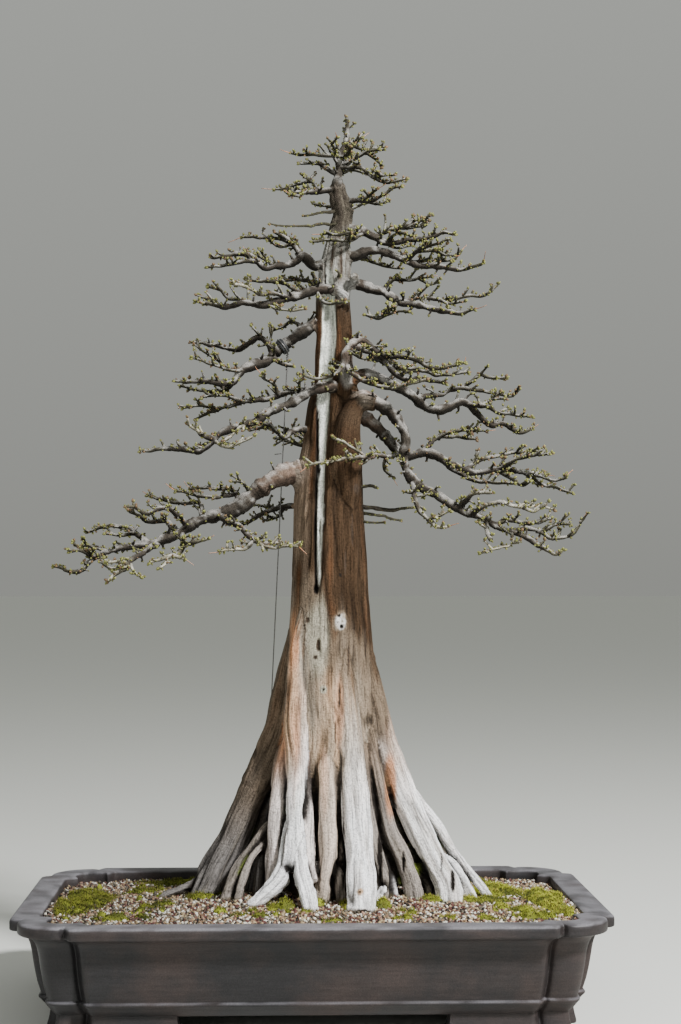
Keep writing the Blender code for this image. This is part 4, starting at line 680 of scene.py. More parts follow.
def trunkFibres(points, tubes):
    # for every point the tube it lies on, its place round and along that tube, and how near it is
    # to the crease where that tube meets the next
    s = toSketch(points)
    left, right = trunkEdgesAt(s[:, 1])
    deep = s[:, 2] - trunkForm["axisDepth"]
    out = np.column_stack([s[:, 0] - (left + right) / 2, deep / depthShare(s[:, 1], deep < 0), s[:, 1] * 0])
    size = np.linalg.norm(out, axis=1)
    first, way = (size - (right - left) / 2) * step, out / size[:, None]
    fibre = np.column_stack([way[:, :2] * trunkForm["girth"], s[:, 1] * step])
    owner, second, otherWay = np.full(len(points), -1), np.full(len(points), 1.0), way.copy()
    for number, (route, radii) in enumerate(tubes):
        low, high = route.min(axis=0) - 0.03, route.max(axis=0) + 0.03
        near = np.flatnonzero(((points > low) & (points < high)).all(axis=1))
        heads, across, upward = carriedFrames(route)
        along = lengthsAlong(route)
        for part in np.array_split(near, len(near) // 8000 + 1):
            away = points[part, None] - route
            far = np.linalg.norm(away, axis=2) - radii
            ring = far.argmin(axis=1)
            row = np.arange(len(part))
            gap, aim = far[row, ring], unit(away[row, ring])
            ahead = gap < first[part]
            behind = ~ahead & (gap < second[part])
            moved, kept = part[ahead], part[behind]
            second[moved], otherWay[moved] = first[moved], way[moved]
            first[moved], way[moved] = gap[ahead], aim[ahead]
            second[kept], otherWay[kept] = gap[behind], aim[behind]
            owner[moved] = number
            k, aim, away = ring[ahead], aim[ahead], away[row, ring][ahead]
            turn = np.column_stack([(aim * across[k]).sum(axis=1), (aim * upward[k]).sum(axis=1)])
            fibre[moved] = np.column_stack([turn * radii.mean() + number * 0.37,
                                            along[k] + (away * heads[k]).sum(axis=1)])
    crease = ramp(0.0062, 0.0, second - first) * ramp(0.97, 0.72, (way * otherWay).sum(axis=1))
    sway = cellNoise(fibre / (0.03, 0.03, 0.05), 17)[:, None]
    return fibre + sway * (0.0035, -0.0025, 0), owner, crease


trunkTones = {
    "barkSmooth": (0.060, 0.034, 0.019), "leader": (0.130, 0.112, 0.085),
    "leaderDark": (0.045, 0.036, 0.028), "deadwood": (0.36, 0.35, 0.315),
    "deadwoodDark": (0.125, 0.108, 0.088), "bark": (0.060, 0.036, 0.020), "barkDark": (0.030, 0.018, 0.010),
    "rust": (0.15, 0.064, 0.028), "barkPale": (0.105, 0.070, 0.044), "barkLeft": (0.30, 0.220, 0.155),
    "pinkBark": (0.30, 0.205, 0.16), "shari": (0.96, 0.98, 0.89), "shariGrey": (0.42, 0.45, 0.39),
    # crack is a near-black painted shade for the crack along the strip
    "crack": (0.010, 0.008, 0.007), "tan": (0.50, 0.34, 0.215), "orange": (0.62, 0.29, 0.145),
    "greyWood": (0.38, 0.33, 0.265), "umber": (0.20, 0.150, 0.105), "umberDark": (0.060, 0.042, 0.030),
    "plaster": (0.44, 0.415, 0.325), "scar": (0.62, 0.60, 0.57), "gnarl": (0.24, 0.225, 0.205),
    # cavity is a near-black painted shade for hollows, crevices and creases
    "burl": (0.42, 0.415, 0.395), "cavityShade": (0.016, 0.013, 0.011), "moss": (0.17, 0.22, 0.03),
    "earth": (0.12, 0.095, 0.055),
}
# Wood of a root high up and at its foot; the dark kind of the roots at the left is partly weathered wood,
# partly painted shade
rootTones = {
    "dark": ((0.090, 0.070, 0.056), (0.16, 0.148, 0.140)),
    "umber": ((0.22, 0.16, 0.115), (0.30, 0.265, 0.235)), "pink": ((0.68, 0.42, 0.29), (0.76, 0.68, 0.64)),
    "white": ((0.74, 0.56, 0.45), (1.0, 0.99, 1.0)), "tan": ((0.66, 0.48, 0.34), (0.64, 0.53, 0.44)),
    "silver": ((0.70, 0.62, 0.54), (1.0, 0.98, 0.98)), "rust": ((0.46, 0.34, 0.27), (0.94, 0.91, 0.89)),
}


def trunkPlaces(points, normals, fibre):
    # where each point lies, how far it faces the front, and the noises that its tones follow
    s = toSketch(points)
    return SimpleNamespace(
        x=s[:, 0], z=s[:, 1],
        front=ramp(0.15, -0.35, normals[:, 1]), facing=ramp(0.25, -0.15, normals[:, 1]),
        wide=layeredNoise(fibre / (0.013, 0.013, 0.13), 2, 3),
        narrow=layeredNoise(fibre / (0.0050, 0.0050, 0.060), 2, 8), patch=layeredNoise(points / 0.03, 2, 21))


def barkWood(at):
    # brown bark above, weathered tan and grey wood below it
    tones = trunkTones
    bark = blend(tones["bark"], tones["barkDark"], ramp(-0.05, -0.8, at.narrow + 0.5 * at.wide) * 0.9)
    bark = blend(bark, tones["rust"], ramp(0.10, 0.8, at.wide + 0.4 * at.patch) * 0.45)
    bark = blend(bark, tones["barkPale"], ramp(0.15, 0.75, at.narrow) * 0.6)
    lower = blend(tones["greyWood"], tones["tan"], 0.5 + 1.3 * at.wide)
    lower = blend(lower, tones["umber"], ramp(0.0, 0.6, at.narrow) * 0.85)
    lower = blend(lower, tones["orange"], ramp(0.25, 0.75, at.wide) * 0.45)
    lower = blend(lower, tones["umber"], ramp(12, 30, at.x) * 0.45)
    return blend(lower, bark, ramp(*trunkZones["bark"], at.z + 30 * at.wide + 1.2 * at.x))


def rootWood(at, owner, crest):
    # every root has the wood of its own kind, lighter on its crests and darker in its hollows as painted
    # light and shade; the core between the roots is darkened at its foot as painted shade
    tones = trunkTones
    kinds = [rootTones[kind] for kind in rootKinds] + [rootTones["umber"]] * len(trunkBurls)
    high, low = (np.array([kind[end] for kind in kinds])[owner] for end in (0, 1))
    root = blend(high, low, ramp(*trunkZones["rootFoot"], at.z + 40 * at.wide + 12 * at.patch))
    root = blend(root, tones["greyWood"], ramp(0.05, 0.75, -at.narrow - 0.3 * at.wide) * 0.55)
    # lighter on crests and darker in hollows: painted light and shade
    root = root * (1 + 0.26 * at.narrow + 0.14 * crest)[:, None]
    # the core low down between the roots: painted shade
    core = blend(blend(tones["tan"], tones["greyWood"], 0.5 + at.narrow), np.array(tones["umber"]) * 0.42,
                 ramp(*trunkZones["core"], at.z + 20 * at.patch))
    return np.where((owner < 0)[:, None], core, root)


def paintPatches(body, at):
    # soft patches, the orange strip at the left and the plain face beside it, darkened as painted shade
    tones = trunkTones
    for *oval, name, strength in trunkPatches:
        reach = ovalDistance(at.x, at.z, oval) + 0.25 * at.wide
        tone = np.array(tones[name]) * (1 + 0.35 * at.narrow)[:, None]
        body = blend(body, tone, ramp(1.1, 0.6, reach) * at.front * strength)
    shadedEdge, stripEdge = (np.interp(at.z, *zip(*edge)) for edge in (shadedFaceEdge, orangeStripEdge))
    orange = ramp(shadedEdge - 1, shadedEdge + 1, at.x) * ramp(3, -5, at.x - stripEdge - 5 * at.narrow)
    orange = orange * ramp(95, 150, at.z + 12 * at.wide) * ramp(290, 262, at.z) * at.front
    body = blend(body, blend(tones["tan"], tones["orange"], 0.6 + at.narrow), orange * 0.85)
    # the plain face at the left: painted shade
    shadedFace = ramp(shadedEdge + 1.5, shadedEdge - 1.5, at.x) * ramp(345, 290, at.z) * ramp(30, 110, at.z)
    return blend(body, np.array(tones["umber"]) * (0.62 + 0.35 * at.narrow)[:, None], shadedFace * 0.85)


def paintStrip(body, at):
    # the pale strip and the crack along its left edge, painted near black as shade in the crack, and how far
    # inside the strip each point is
    tones = trunkTones
    left, right = shariAt(at.z)
    inside = ramp(-1.2, 0.8, at.x - left) * ramp(1.0, -0.8, at.x - right + 1.5 * at.narrow)
    inside = inside * ramp(300, 322, at.z) * ramp(630, 618, at.z) * at.facing
    grey = ramp(-0.1, 0.7, at.narrow + 0.3 * at.wide) * 0.8 + ramp(0.2, 0.8, at.patch) * 0.3
    strip = blend(tones["shari"], tones["shariGrey"], grey)
    clear = ramp(0.92, 1.04, ovalDistance(at.x, at.z, trunkForm["burlOval"]))
    body = blend(body, strip, inside * clear)
    crack = hill(0, 1.35, at.x - left + 0.8 * at.wide) * ramp(296, 306, at.z) * ramp(494, 470, at.z)
    return blend(body, tones["crack"], crack * at.front * 1.6), inside


def paintHollowShade(body, at, crest, split, crease, inside):
    # painted shade darkens the fine splits between the fibres, the hollows and the creases; a few creases
    # are mossy
    tones = trunkTones
    body = body * (1 - (0.62 - 0.26 * ramp(270, 330, at.z)) * split * (1 - 0.5 * inside))[:, None]
    body = blend(body, tones["cavityShade"], ramp(-0.15, -0.95, crest) * (0.30 + 0.40 * ramp(240, 80, at.z)))
    deep = ramp(0.16, 0.70, crease) * ramp(150, 85, at.z + 25 * at.patch)
    body = blend(body, tones["cavityShade"], deep * 0.96)
    mossy = ramp(0.3, 0.8, crease) * ramp(130, 30, at.z) * ramp(0.15, 0.5, at.patch)
    return blend(body, tones["moss"], mossy * 0.7)


def paintMarks(body, at, points):
    # marks in the wood, the near-black ones painted shade in their hollows, limb collars that pass into the
    # grey of the limbs, earth at the foot
    tones = trunkTones
    for *oval, _, name in trunkMarks:
        reach = ovalDistance(at.x, at.z, oval) + 0.22 * at.narrow + 0.12 * at.wide
        body = blend(body, tones[name], ramp(1.1, 0.8, reach) * at.front)
    collar = np.array(limbTones["collar"]) * (1 + 0.4 * at.narrow)[:, None]
    for strokes in limbLines.values():
        size, end = strokes[0][0] * step, fromSketch(strokes[0][-1][1:2])[0]
        far = np.linalg.norm(points - end, axis=1)
        body = blend(body, collar, ramp(2.1 * size, 1.0 * size, far) * 0.8)
    above = points[:, 2] - soilHeight(points[:, 0], points[:, 1]) + 0.004 * at.patch
    earth = blend(tones["earth"], tones["moss"], ramp(0.1, 0.4, at.patch))
    return blend(body, earth, ramp(0.005, 0.001, above) * 0.8)


def paintTrunk(points, normals, crest, fibre, owner, split, crease):
    # woods by height, each mixed along the fibres, then everything that lies over them
    tones, at = trunkTones, trunkPlaces(points, normals, fibre)
    body = barkWood(at)
    body = blend(body, rootWood(at, owner, crest), ramp(*trunkZones["roots"], at.z + 40 * at.wide))
    dead = blend(tones["deadwoodDark"], tones["deadwood"], 0.55 + 1.2 * at.narrow + 0.5 * at.wide)
    body = blend(body, dead, ramp(*trunkZones["deadwood"], at.z + 14 * at.wide))
    leader = blend(tones["leaderDark"], tones["leader"], 0.55 + 1.1 * at.narrow + 0.6 * at.patch)
    body = blend(body, leader, ramp(*trunkZones["leader"], at.z + 10 * at.patch))
    body, inside = paintStrip(paintPatches(body, at), at)
    return paintMarks(paintHollowShade(body, at, crest, split, crease, inside), at, points)


def trunkRelief(points, normals, fibre, crease):
    # ridges, splits and creases along the normal; marks and the crack push straight inwards
    form = trunkForm
    x, z = toSketch(points)[:, :2].T
    front = ramp(0.15, -0.35, normals[:, 1])
    left, right = shariAt(z)
    strip = ramp(-2, 2, x - left) * ramp(2, -2, x - right) * ramp(300, 322, z) * ramp(632, 618, z) * front
    calm = 1 - 0.55 * strip - 0.45 * ramp(1.1, 0.7, ovalDistance(x, z, form["smoothOval"])) * front
    split = ramp(0.24, 0.03, np.abs(cellNoise(fibre / (0.0080, 0.0080, 0.085), 31))) * ramp(700, 640, z)
    split = split * (0.55 + 0.45 * ramp(0, 0.4, cellNoise(fibre / (0.02, 0.02, 0.09), 33)))
    lift = form["ridge"] * layeredNoise(fibre / (0.0048, 0.0048, 0.075), 2, 5)
    lift = lift + form["broad"] * layeredNoise(fibre / (0.0135, 0.0135, 0.12), 2, 15)
    lift = (lift - form["split"] * split) * calm * (1 + 0.5 * ramp(290, 170, z))
    rough = ramp(0, 1, ramp(22, 4, z) + ramp(640, 668, z) * 0.9)
    lift = lift + form["ragged"] * rough * layeredNoise(points / 0.007, 2, 41)
    lift = lift - form["crease"] * crease * (0.12 + 0.88 * ramp(165, 85, z)) * ramp(320, 240, z)
    crack = hill(0, 1.5, x - left + 0.2) * ramp(298, 306, z) * ramp(496, 470, z)
    push = crack * front * form["crackDepth"] * step
    for *oval, depth, _ in trunkMarks:
        push = push + ramp(1.25, 0.6, ovalDistance(x, z, oval)) * front * depth * step
    return lift, push, split


def standOut(points, normals, edges):
    # -1 in a hollow to 1 on a crest: how far a point stands out of its smoothed surroundings
    near = neighbourMean(points, edges, 10, 0.6)
    far = neighbourMean(near, edges, 26, 0.6)
    crest = np.clip(((points - near) * normals).sum(axis=1) / trunkForm["nearCrest"], -1, 1)
    broad = ((near - far) * normals).sum(axis=1) / trunkForm["farCrest"]
    return np.clip(0.55 * crest + broad, -1, 1)


def makeTrunk():
    tubes = trunkTubes()
    mesh = voxelJoined(trunkParts(tubes), "trunkWood", trunkForm["voxel"])
    edges = meshEdges(mesh)
    points = neighbourMean(vertexPoints(mesh), edges, 3, 0.5)
    # the tips of the roots melt into the trunk
    z = toSketch(points)[:, 1]
    points = blend(points, neighbourMean(points, edges, 40, 0.6), ramp(120, 175, z) * ramp(330, 260, z))
    setPoints(mesh, points)
    normals = unit(neighbourMean(vertexNormals(mesh), edges, 2, 0.6))
    fibre, owner, crease = trunkFibres(points, tubes)
    crease = neighbourMean(crease[:, None], edges, 3, 0.5)[:, 0]
    x, z = toSketch(points)[:, :2].T
    crease = crease * ramp(0.55, 1.05, ovalDistance(x, z, trunkForm["forkOval"]))
    lift, push, split = trunkRelief(points, normals, fibre, crease)
    points = points + normals * lift[:, None]
    points[:, 1] += push
    setPoints(mesh, points)
    normals = vertexNormals(mesh)
    tone = paintTrunk(points, normals, standOut(points, normals, edges), fibre, owner, split, crease)
    setAttributes(mesh, tone, fibre / trunkForm["grainSize"])
    # fewer faces where the surface is calm; tones and grain are carried along
    mesh = reshaped(mesh, "DECIMATE", ratio=trunkForm["kept"])
    mesh.shade_smooth()
    mesh.materials.clear()
    return addPiece("trunkWood", mesh, [trunkBark], ["trunk"])


# The limbs, their twigs and buds

limbLines = {
    "crown": [
        (5.6, 3.2, 1.0, [(-3, 704, 10), (-3, 713, 10), (-1, 726, 12), (1, 740, 12), (3, 747, 12),
                         (6, 754, 12), (7, 764, 12), (6, 778, 12)]),
        (1.5, 0.9, [(0, 739, 12), (-15, 739, 6), (-32, 740, 2), (-49, 741, -2)]),
        (2.4, 0.9, [(-3, 720, 11), (-15, 727, 18), (-23, 731, 24), (-42, 731, 34)]),
        (2.0, 0.9, [(0, 728, 12), (20, 739, 4), (30, 744, 0), (44, 746, -2)]),
        (1.1, 0.8, [(27, 742, 1), (36, 735, 0), (43, 729, -2)]),
        (1.7, 0.8, [(2, 743, 12), (12, 751, 16), (21, 757, 20)]),
        (1.2, 0.8, [(11, 750, 16), (20, 746, 24), (30, 746, 30), (44, 748, 36)]),
        (1.2, 0.8, [(0, 741, 12), (-8, 750, 6), (-4, 756, 2)]),
        (1.8, 0.9, [(-1, 727, 11), (18, 728, 0), (28, 722, -8), (36, 716, -12), (48, 712, -16),
                    (65, 716, -20)]),
        (1.0, 0.8, [(34, 717, -11), (43, 719, -18), (53, 721, -22)]),
        (1.3, 0.8, [(-2, 720, 12), (13, 724, 22), (32, 719, 30)]),
        (1.8, 0.9, [(-2, 728, 12), (-8, 742, 34), (-14, 750, 50)]),
        (1.5, 0.9, [(1, 736, 12), (6, 740, -12), (10, 748, -28)]),
    ],
    "limb_left_1": [
        (3.2, 2.0, 0.9, [(-4, 704, 10), (-15, 704, 7), (-28, 702, 0), (-40, 702, -4), (-50, 703, -6),
                         (-65, 705, -8)]),
        (1.4, 0.8, [(-20, 703, 4), (-26, 710, 12), (-32, 714, 18), (-38, 719, 22)]),
        (1.1, 0.8, [(-31, 713, 17), (-42, 710, 24), (-54, 707, 30)]),
        (1.2, 0.8, [(-34, 702, -2), (-44, 698, -16), (-50, 700, -30)]),
    ],
    "limb_right_1": [
        (2.8, 1.6, 0.8, [(2, 692, 10), (15, 694, 8), (31, 694, 6), (44, 700, 4), (51, 705, 2),
                         (60, 709, 0)]),
        (1.1, 0.8, [(26, 694, 7), (38, 690, 24), (48, 694, 38)]),
        (1.1, 0.8, [(22, 694, 7), (30, 700, -10), (38, 706, -22)]),
    ],
    "limb_right_2": [
        (5.2, 3.0, 1.0, [(2, 665, 8), (15, 664, 6), (24, 662, 4), (36, 656, 0), (46, 651, -2), (57, 652, -4),
                         (70, 655, -6), (86, 656, -8), (104, 662, -10), (114, 661, -12)]),
        (2.0, 0.9, [(34, 657, 0), (44, 662, 8), (58, 666, 14), (72, 672, 20), (92, 680, 28)]),
        (1.2, 0.8, [(56, 666, 13), (72, 667, 24), (86, 669, 32), (90, 674, 38)]),
        (1.4, 0.8, [(48, 651, -2), (54, 660, -12), (64, 661, -20), (74, 658, -26)]),
        (1.2, 0.8, [(46, 651, -2), (56, 646, 6), (70, 648, 14)]),
        (1.6, 0.8, [(19, 662, 2), (10, 661, -12), (-4, 659, -20), (-18, 660, -24)]),
        (1.4, 0.8, [(22, 660, 2), (8, 653, -14), (-8, 654, -22), (-28, 652, -28)]),
    ],
    "limb_right_3": [
        (5.2, 3.6, 0.9, [(2, 635, 10), (17, 638, 6), (28, 643, 2), (40, 643, 0), (52, 639, -2),
                         (62, 635, -4), (69, 632, -5), (82, 628, -6), (96, 628, -8), (125, 625, -10),
                         (144, 631, -14)]),
        (1.9, 0.9, [(66, 633, -5), (76, 642, -14), (86, 647, -20), (97, 651, -26), (110, 655, -30)]),
        (1.2, 0.8, [(76, 642, -14), (90, 644, -6), (102, 641, 0), (114, 638, 4)]),
        (1.3, 0.7, [(70, 632, -5), (90, 634, 4), (112, 634, 12), (121, 643, 16)]),
        (1.5, 0.9, [(24, 640, 3), (30, 632, 20), (48, 627, 30), (62, 625, 34)]),
    ],
    "limb_left_2": [
        (5.4, 3.2, 1.1, [(-12, 627, 8), (-27, 628, 5), (-37, 637, 2), (-44, 632, -2), (-54, 628, -6),
                         (-64, 627, -8), (-75, 625, -10), (-84, 632, -12), (-92, 638, -14), (-104, 639, -16),
                         (-118, 636, -18), (-130, 636, -20)]),
        (2.8, 1.0, [(-37, 636, 2), (-48, 649, 8), (-56, 656, 12), (-65, 661, 16)]),
        (1.6, 0.9, [(-52, 652, 10), (-62, 655, 20), (-76, 656, 26), (-99, 656, 34)]),
        (1.2, 0.8, [(-48, 649, 8), (-62, 647, 2), (-72, 653, -2)]),
        (1.9, 0.9, [(-84, 632, -12), (-94, 632, -22), (-106, 629, -28), (-120, 627, -32), (-133, 625, -34)]),
        (1.4, 0.8, [(-68, 627, -9), (-74, 634, 4), (-82, 637, 14), (-94, 640, 22)]),
    ],
    "limb_left_3": [
        (4.8, 4.0, 1.0, [(-4, 603, -2), (-10, 604, -13), (-22, 604, -23), (-32, 601, -27), (-42, 597, -30),
                         (-52, 595, -32), (-64, 591, -34), (-76, 588, -36), (-88, 589, -38),
                         (-100, 590, -40), (-112, 586, -42), (-136, 589, -44), (-145, 592, -46)]),
        (1.8, 0.9, [(-38, 599, -29), (-54, 608, -22), (-66, 611, -16), (-80, 612, -12), (-95, 614, -8)]),
        (1.9, 0.9, [(-52, 595, -32), (-66, 600, -44), (-80, 599, -52), (-96, 606, -62), (-108, 609, -66)]),
        (1.5, 0.9, [(-86, 589, -38), (-98, 593, -30), (-111, 594, -24), (-120, 602, -20), (-131, 606, -16)]),
        (1.1, 0.8, [(-124, 587, -43), (-133, 593, -36), (-140, 596, -32)]),
        (1.2, 0.8, [(-74, 588, -36), (-62, 584, -42), (-48, 582, -46), (-37, 584, -48)]),
        (1.4, 0.9, [(-24, 602, -24), (-18, 592, -34), (-8, 590, -38), (4, 592, -42)]),
    ],
    "limb_right_4": [
        (5.4, 4.2, 1.0, [(6, 610, 8), (22, 608, 4), (33, 604, 2), (43, 602, 0), (52, 596, -2), (60, 591, -4),
                         (70, 590, -5), (82, 588, -6), (96, 584, -8), (119, 581, -10), (135, 584, -13)]),
        (1.9, 0.9, [(42, 602, 0), (48, 610, 8), (56, 614, 12), (70, 614, 16), (90, 618, 22)]),
        (1.1, 0.8, [(78, 616, 19), (88, 610, 26), (97, 611, 30)]),
        (1.9, 0.9, [(62, 591, -4), (76, 596, 6), (90, 596, 12), (103, 594, 16), (131, 598, 24),
                    (145, 598, 26), (158, 609, 30)]),
        (1.2, 0.8, [(98, 595, 14), (110, 590, 8), (124, 592, 4)]),
        (1.7, 1.1, [(57, 592, -3), (52, 582, -10), (44, 577, -14), (37, 575, -16), (25, 578, -18)]),
        (1.1, 0.8, [(43, 577, -14), (56, 582, -24), (67, 582, -28)]),
    ],
    "limb_left_4": [
        (6.2, 5.4, 0.9, [(-16, 574, 12), (-30, 566, 11), (-50, 552, 10), (-66, 540, 8), (-70, 534, 4),
                         (-78, 530, -1), (-88, 527, -6), (-98, 522, -10), (-104, 515, -11), (-110, 509, -12),
                         (-130, 510, -16), (-143, 511, -18), (-165, 511, -22)]),
        (3.6, 0.9, [(-67, 539, 7), (-72, 549, 12), (-82, 555, 16), (-92, 549, 18), (-103, 543, 22),
                    (-115, 545, 24), (-150, 551, 30)]),
        (1.7, 0.9, [(-36, 562, 11), (-43, 569, 20), (-50, 572, 28), (-58, 566, 36), (-68, 562, 42)]),
        (1.6, 0.9, [(-103, 515, -11), (-112, 505, -4), (-122, 500, 0), (-142, 502, 8), (-160, 506, 14)]),
        (1.4, 0.7, [(-96, 522, -10), (-112, 522, -22), (-124, 526, -28), (-148, 534, -36)]),
        (1.1, 0.6, [(-110, 522, -20), (-120, 530, -16), (-130, 536, -14), (-146, 547, -12)]),
        (2.4, 1.4, [(-69, 536, 5), (-60, 530, -3), (-48, 527, -9)]),
    ],
    "limb_right_5": [
        (5.6, 4.4, 3.6, 2.2, 1.2, [(4, 508, 2), (5, 521, -14), (5, 531, -19), (6, 541, -20), (12, 549, -18),
                                   (20, 553, -14), (28, 549, -12), (36, 541, -12), (44, 533, -13),
                                   (51, 524, -15), (58, 517, -18), (66, 514, -20), (78, 514, -22),
                                   (92, 512, -24), (106, 510, -26)]),
        (2.2, 0.9, [(37, 540, -12), (50, 537, -18), (64, 536, -24), (77, 533, -28), (86, 527, -32),
                    (100, 525, -36), (124, 530, -42)]),
        (1.6, 0.9, [(50, 525, -15), (62, 525, -6), (78, 524, -2), (90, 520, 0), (100, 518, 2),
                    (128, 521, 6)]),
        (1.9, 0.9, [(6, 529, -19), (12, 519, -30), (24, 512, -36), (38, 507, -40), (52, 505, -42),
                    (66, 508, -44), (86, 513, -48)]),
        (1.6, 0.9, [(4, 529, -19), (-3, 520, -31), (-14, 515, -38), (-26, 514, -44), (-38, 517, -48)]),
        (1.0, 0.7, [(8, 544, -19), (22, 534, -30), (36, 537, -34)]),
    ],
    "limb_right_6": [
        (6.0, 5.0, 1.0, [(6, 513, 10), (25, 518, 8), (35, 516, 5), (46, 511, 4), (58, 505, 4), (68, 500, 5),
                         (76, 494, 6), (84, 487, 7), (96, 483, 8), (108, 485, 9), (120, 491, 10),
                         (128, 489, 12), (136, 481, 14), (144, 473, 16), (152, 467, 18), (163, 469, 20),
                         (180, 461, 23), (193, 464, 25)]),
        (2.2, 0.9, [(126, 489, 12), (144, 487, 2), (152, 485, -4), (160, 480, -8), (192, 477, -16)]),
        (2.2, 0.9, [(74, 495, 6), (86, 497, 16), (100, 498, 22), (112, 503, 26), (124, 505, 28),
                    (160, 499, 32), (172, 497, 34), (180, 504, 36)]),
        (1.5, 0.9, [(122, 505, 28), (134, 514, 34), (141, 519, 38), (150, 516, 42), (166, 516, 46)]),
        (1.2, 0.8, [(142, 487, 4), (152, 493, 10), (166, 494, 16)]),
        (1.8, 0.9, [(45, 511, 4), (56, 518, 20), (74, 522, 34), (96, 524, 44)]),
    ],
    "limb_right_low": [
        (8.2, 5.4, 4.4, 2.8, 1.0, [(2, 492, -2), (25, 495, -13), (36, 490, -16), (46, 484, -18),
                                   (54, 477, -20), (60, 469, -22), (64, 461, -24), (66, 451, -26),
                                   (65, 441, -27), (64, 432, -28), (67, 421, -29), (74, 411, -30),
                                   (83, 404, -32), (96, 398, -34), (108, 390, -36), (119, 383, -38),
                                   (131, 378, -39), (144, 374, -40), (156, 366, -42), (170, 361, -43),
                                   (183, 357, -44), (196, 349, -46), (208, 342, -48), (217, 338, -49),
                                   (223, 342, -50)]),
        (2.4, 0.9, [(72, 412, -30), (75, 393, -42), (80, 381, -47), (91, 369, -52), (98, 365, -54),
                    (107, 365, -56)]),
        (1.3, 0.8, [(87, 373, -50), (100, 377, -58), (109, 381, -62)]),
        (1.4, 0.9, [(74, 400, -38), (64, 401, -44)]),
        (2.4, 1.1, [(118, 384, -38), (126, 392, -46), (134, 399, -50), (152, 400, -52)]),
        (2.2, 0.9, [(132, 377, -39), (142, 386, -56), (156, 390, -64), (165, 390, -68), (175, 386, -72),
                    (186, 385, -76), (194, 391, -80)]),
        (1.2, 0.7, [(184, 385, -75), (194, 381, -82), (204, 386, -86), (214, 383, -90)]),
        (2.2, 0.9, [(154, 367, -42), (166, 372, -32), (176, 371, -26), (190, 368, -20), (202, 371, -16),
                    (211, 374, -12)]),
        (2.0, 0.7, [(170, 361, -43), (186, 364, -36), (200, 362, -32), (219, 368, -24), (231, 368, -20)]),
        (1.5, 0.8, [(198, 362, -33), (213, 354, -28), (232, 358, -20), (240, 366, -16), (243, 372, -14)]),
        (2.0, 1.4, [(146, 373, -41), (148, 360, -50), (151, 352, -56)]),
        (1.2, 0.6, [(172, 361, -43), (173, 350, -52), (166, 346, -56), (141, 339, -60)]),
    ],
    "limb_right_7": [
        (7.0, 4.6, 1.1, [(8, 480, 8), (22, 476, 4), (32, 469, 0), (40, 462, -3), (47, 454, -4),
                         (53, 446, -5), (60, 440, -5), (70, 437, -6), (84, 440, -8), (96, 437, -8),
                         (108, 430, -8), (120, 425, -6), (132, 420, -4), (146, 421, -2), (160, 423, 0),
                         (186, 421, 4), (206, 417, 8)]),
        (2.0, 0.9, [(78, 439, -8), (90, 448, -2), (98, 455, 4), (110, 456, 8), (136, 454, 14)]),
        (1.3, 0.8, [(98, 454, 4), (106, 459, -2), (118, 462, -6), (138, 463, -10)]),
        (1.3, 0.8, [(112, 456, 8), (118, 462, 18), (132, 462, 26), (146, 462, 32)]),
        (1.8, 0.9, [(126, 422, -5), (140, 432, 6), (164, 438, 14), (180, 440, 18), (199, 442, 22)]),
        (1.5, 0.9, [(158, 423, 0), (172, 431, -8), (184, 435, -12), (212, 440, -20)]),
        (1.4, 0.9, [(156, 422, -1), (170, 415, -12), (182, 407, -18), (190, 411, -22)]),
        (1.5, 0.9, [(186, 420, 4), (196, 413, 10), (204, 407, 14), (214, 406, 18), (232, 400, 22)]),
        (1.2, 0.8, [(196, 418, 6), (210, 413, -2), (222, 413, -6), (227, 416, -8)]),
        (2.0, 0.9, [(102, 433, -8), (112, 424, -18), (124, 417, -24), (136, 412, -28), (152, 410, -32),
                    (174, 409, -36)]),
        (2.0, 0.9, [(60, 440, -5), (48, 436, -14), (40, 437, -22), (30, 436, -32), (22, 428, -40)]),
        (1.5, 0.9, [(34, 436, -28), (20, 435, -42), (5, 434, -50), (-10, 432, -54), (-32, 427, -58)]),
        (1.3, 0.8, [(28, 434, -34), (14, 443, -46), (4, 450, -52), (-7, 455, -56)]),
        (1.3, 0.8, [(46, 436, -15), (44, 424, -16), (52, 416, -14)]),
    ],
    "limb_left_5": [
        (5.6, 4.0, 0.9, [(-2, 506, -2), (-12, 506, -19), (-22, 504, -26), (-32, 500, -30), (-42, 493, -33),
                         (-54, 487, -36), (-66, 483, -38), (-76, 478, -40), (-84, 471, -42), (-96, 468, -44),
                         (-108, 464, -46), (-120, 459, -48), (-128, 450, -50), (-136, 444, -48),
                         (-144, 441, -46), (-158, 443, -44), (-186, 442, -40), (-200, 441, -38)]),
        (2.6, 0.9, [(-126, 453, -50), (-138, 457, -56), (-145, 462, -60), (-152, 467, -62)]),
        (2.8, 0.9, [(-30, 501, -29), (-44, 502, -22), (-60, 498, -16), (-72, 493, -12), (-84, 492, -8),
                    (-98, 490, -6), (-112, 486, -2), (-124, 482, 0), (-144, 474, 4)]),
        (1.3, 0.8, [(-96, 490, -6), (-110, 495, -14), (-124, 497, -20), (-138, 495, -24)]),
        (1.2, 0.9, [(-122, 482, 0), (-138, 486, -8), (-157, 484, -12)]),
        (1.3, 0.8, [(-62, 497, -16), (-66, 508, -20), (-72, 511, -24), (-78, 517, -28)]),
        (1.1, 0.8, [(-40, 502, -24), (-42, 510, -36), (-38, 514, -42)]),
        (1.1, 0.7, [(-96, 468, -44), (-108, 458, -56), (-116, 452, -62)]),
        (1.3, 0.9, [(-126, 451, -50), (-116, 445, -60), (-105, 447, -66), (-87, 456, -72)]),
    ],
    "limb_left_6": [
        (3.2, 2.0, 0.9, [(-26, 462, 6), (-42, 463, -2), (-50, 460, -6), (-56, 454, -10), (-63, 460, -12),
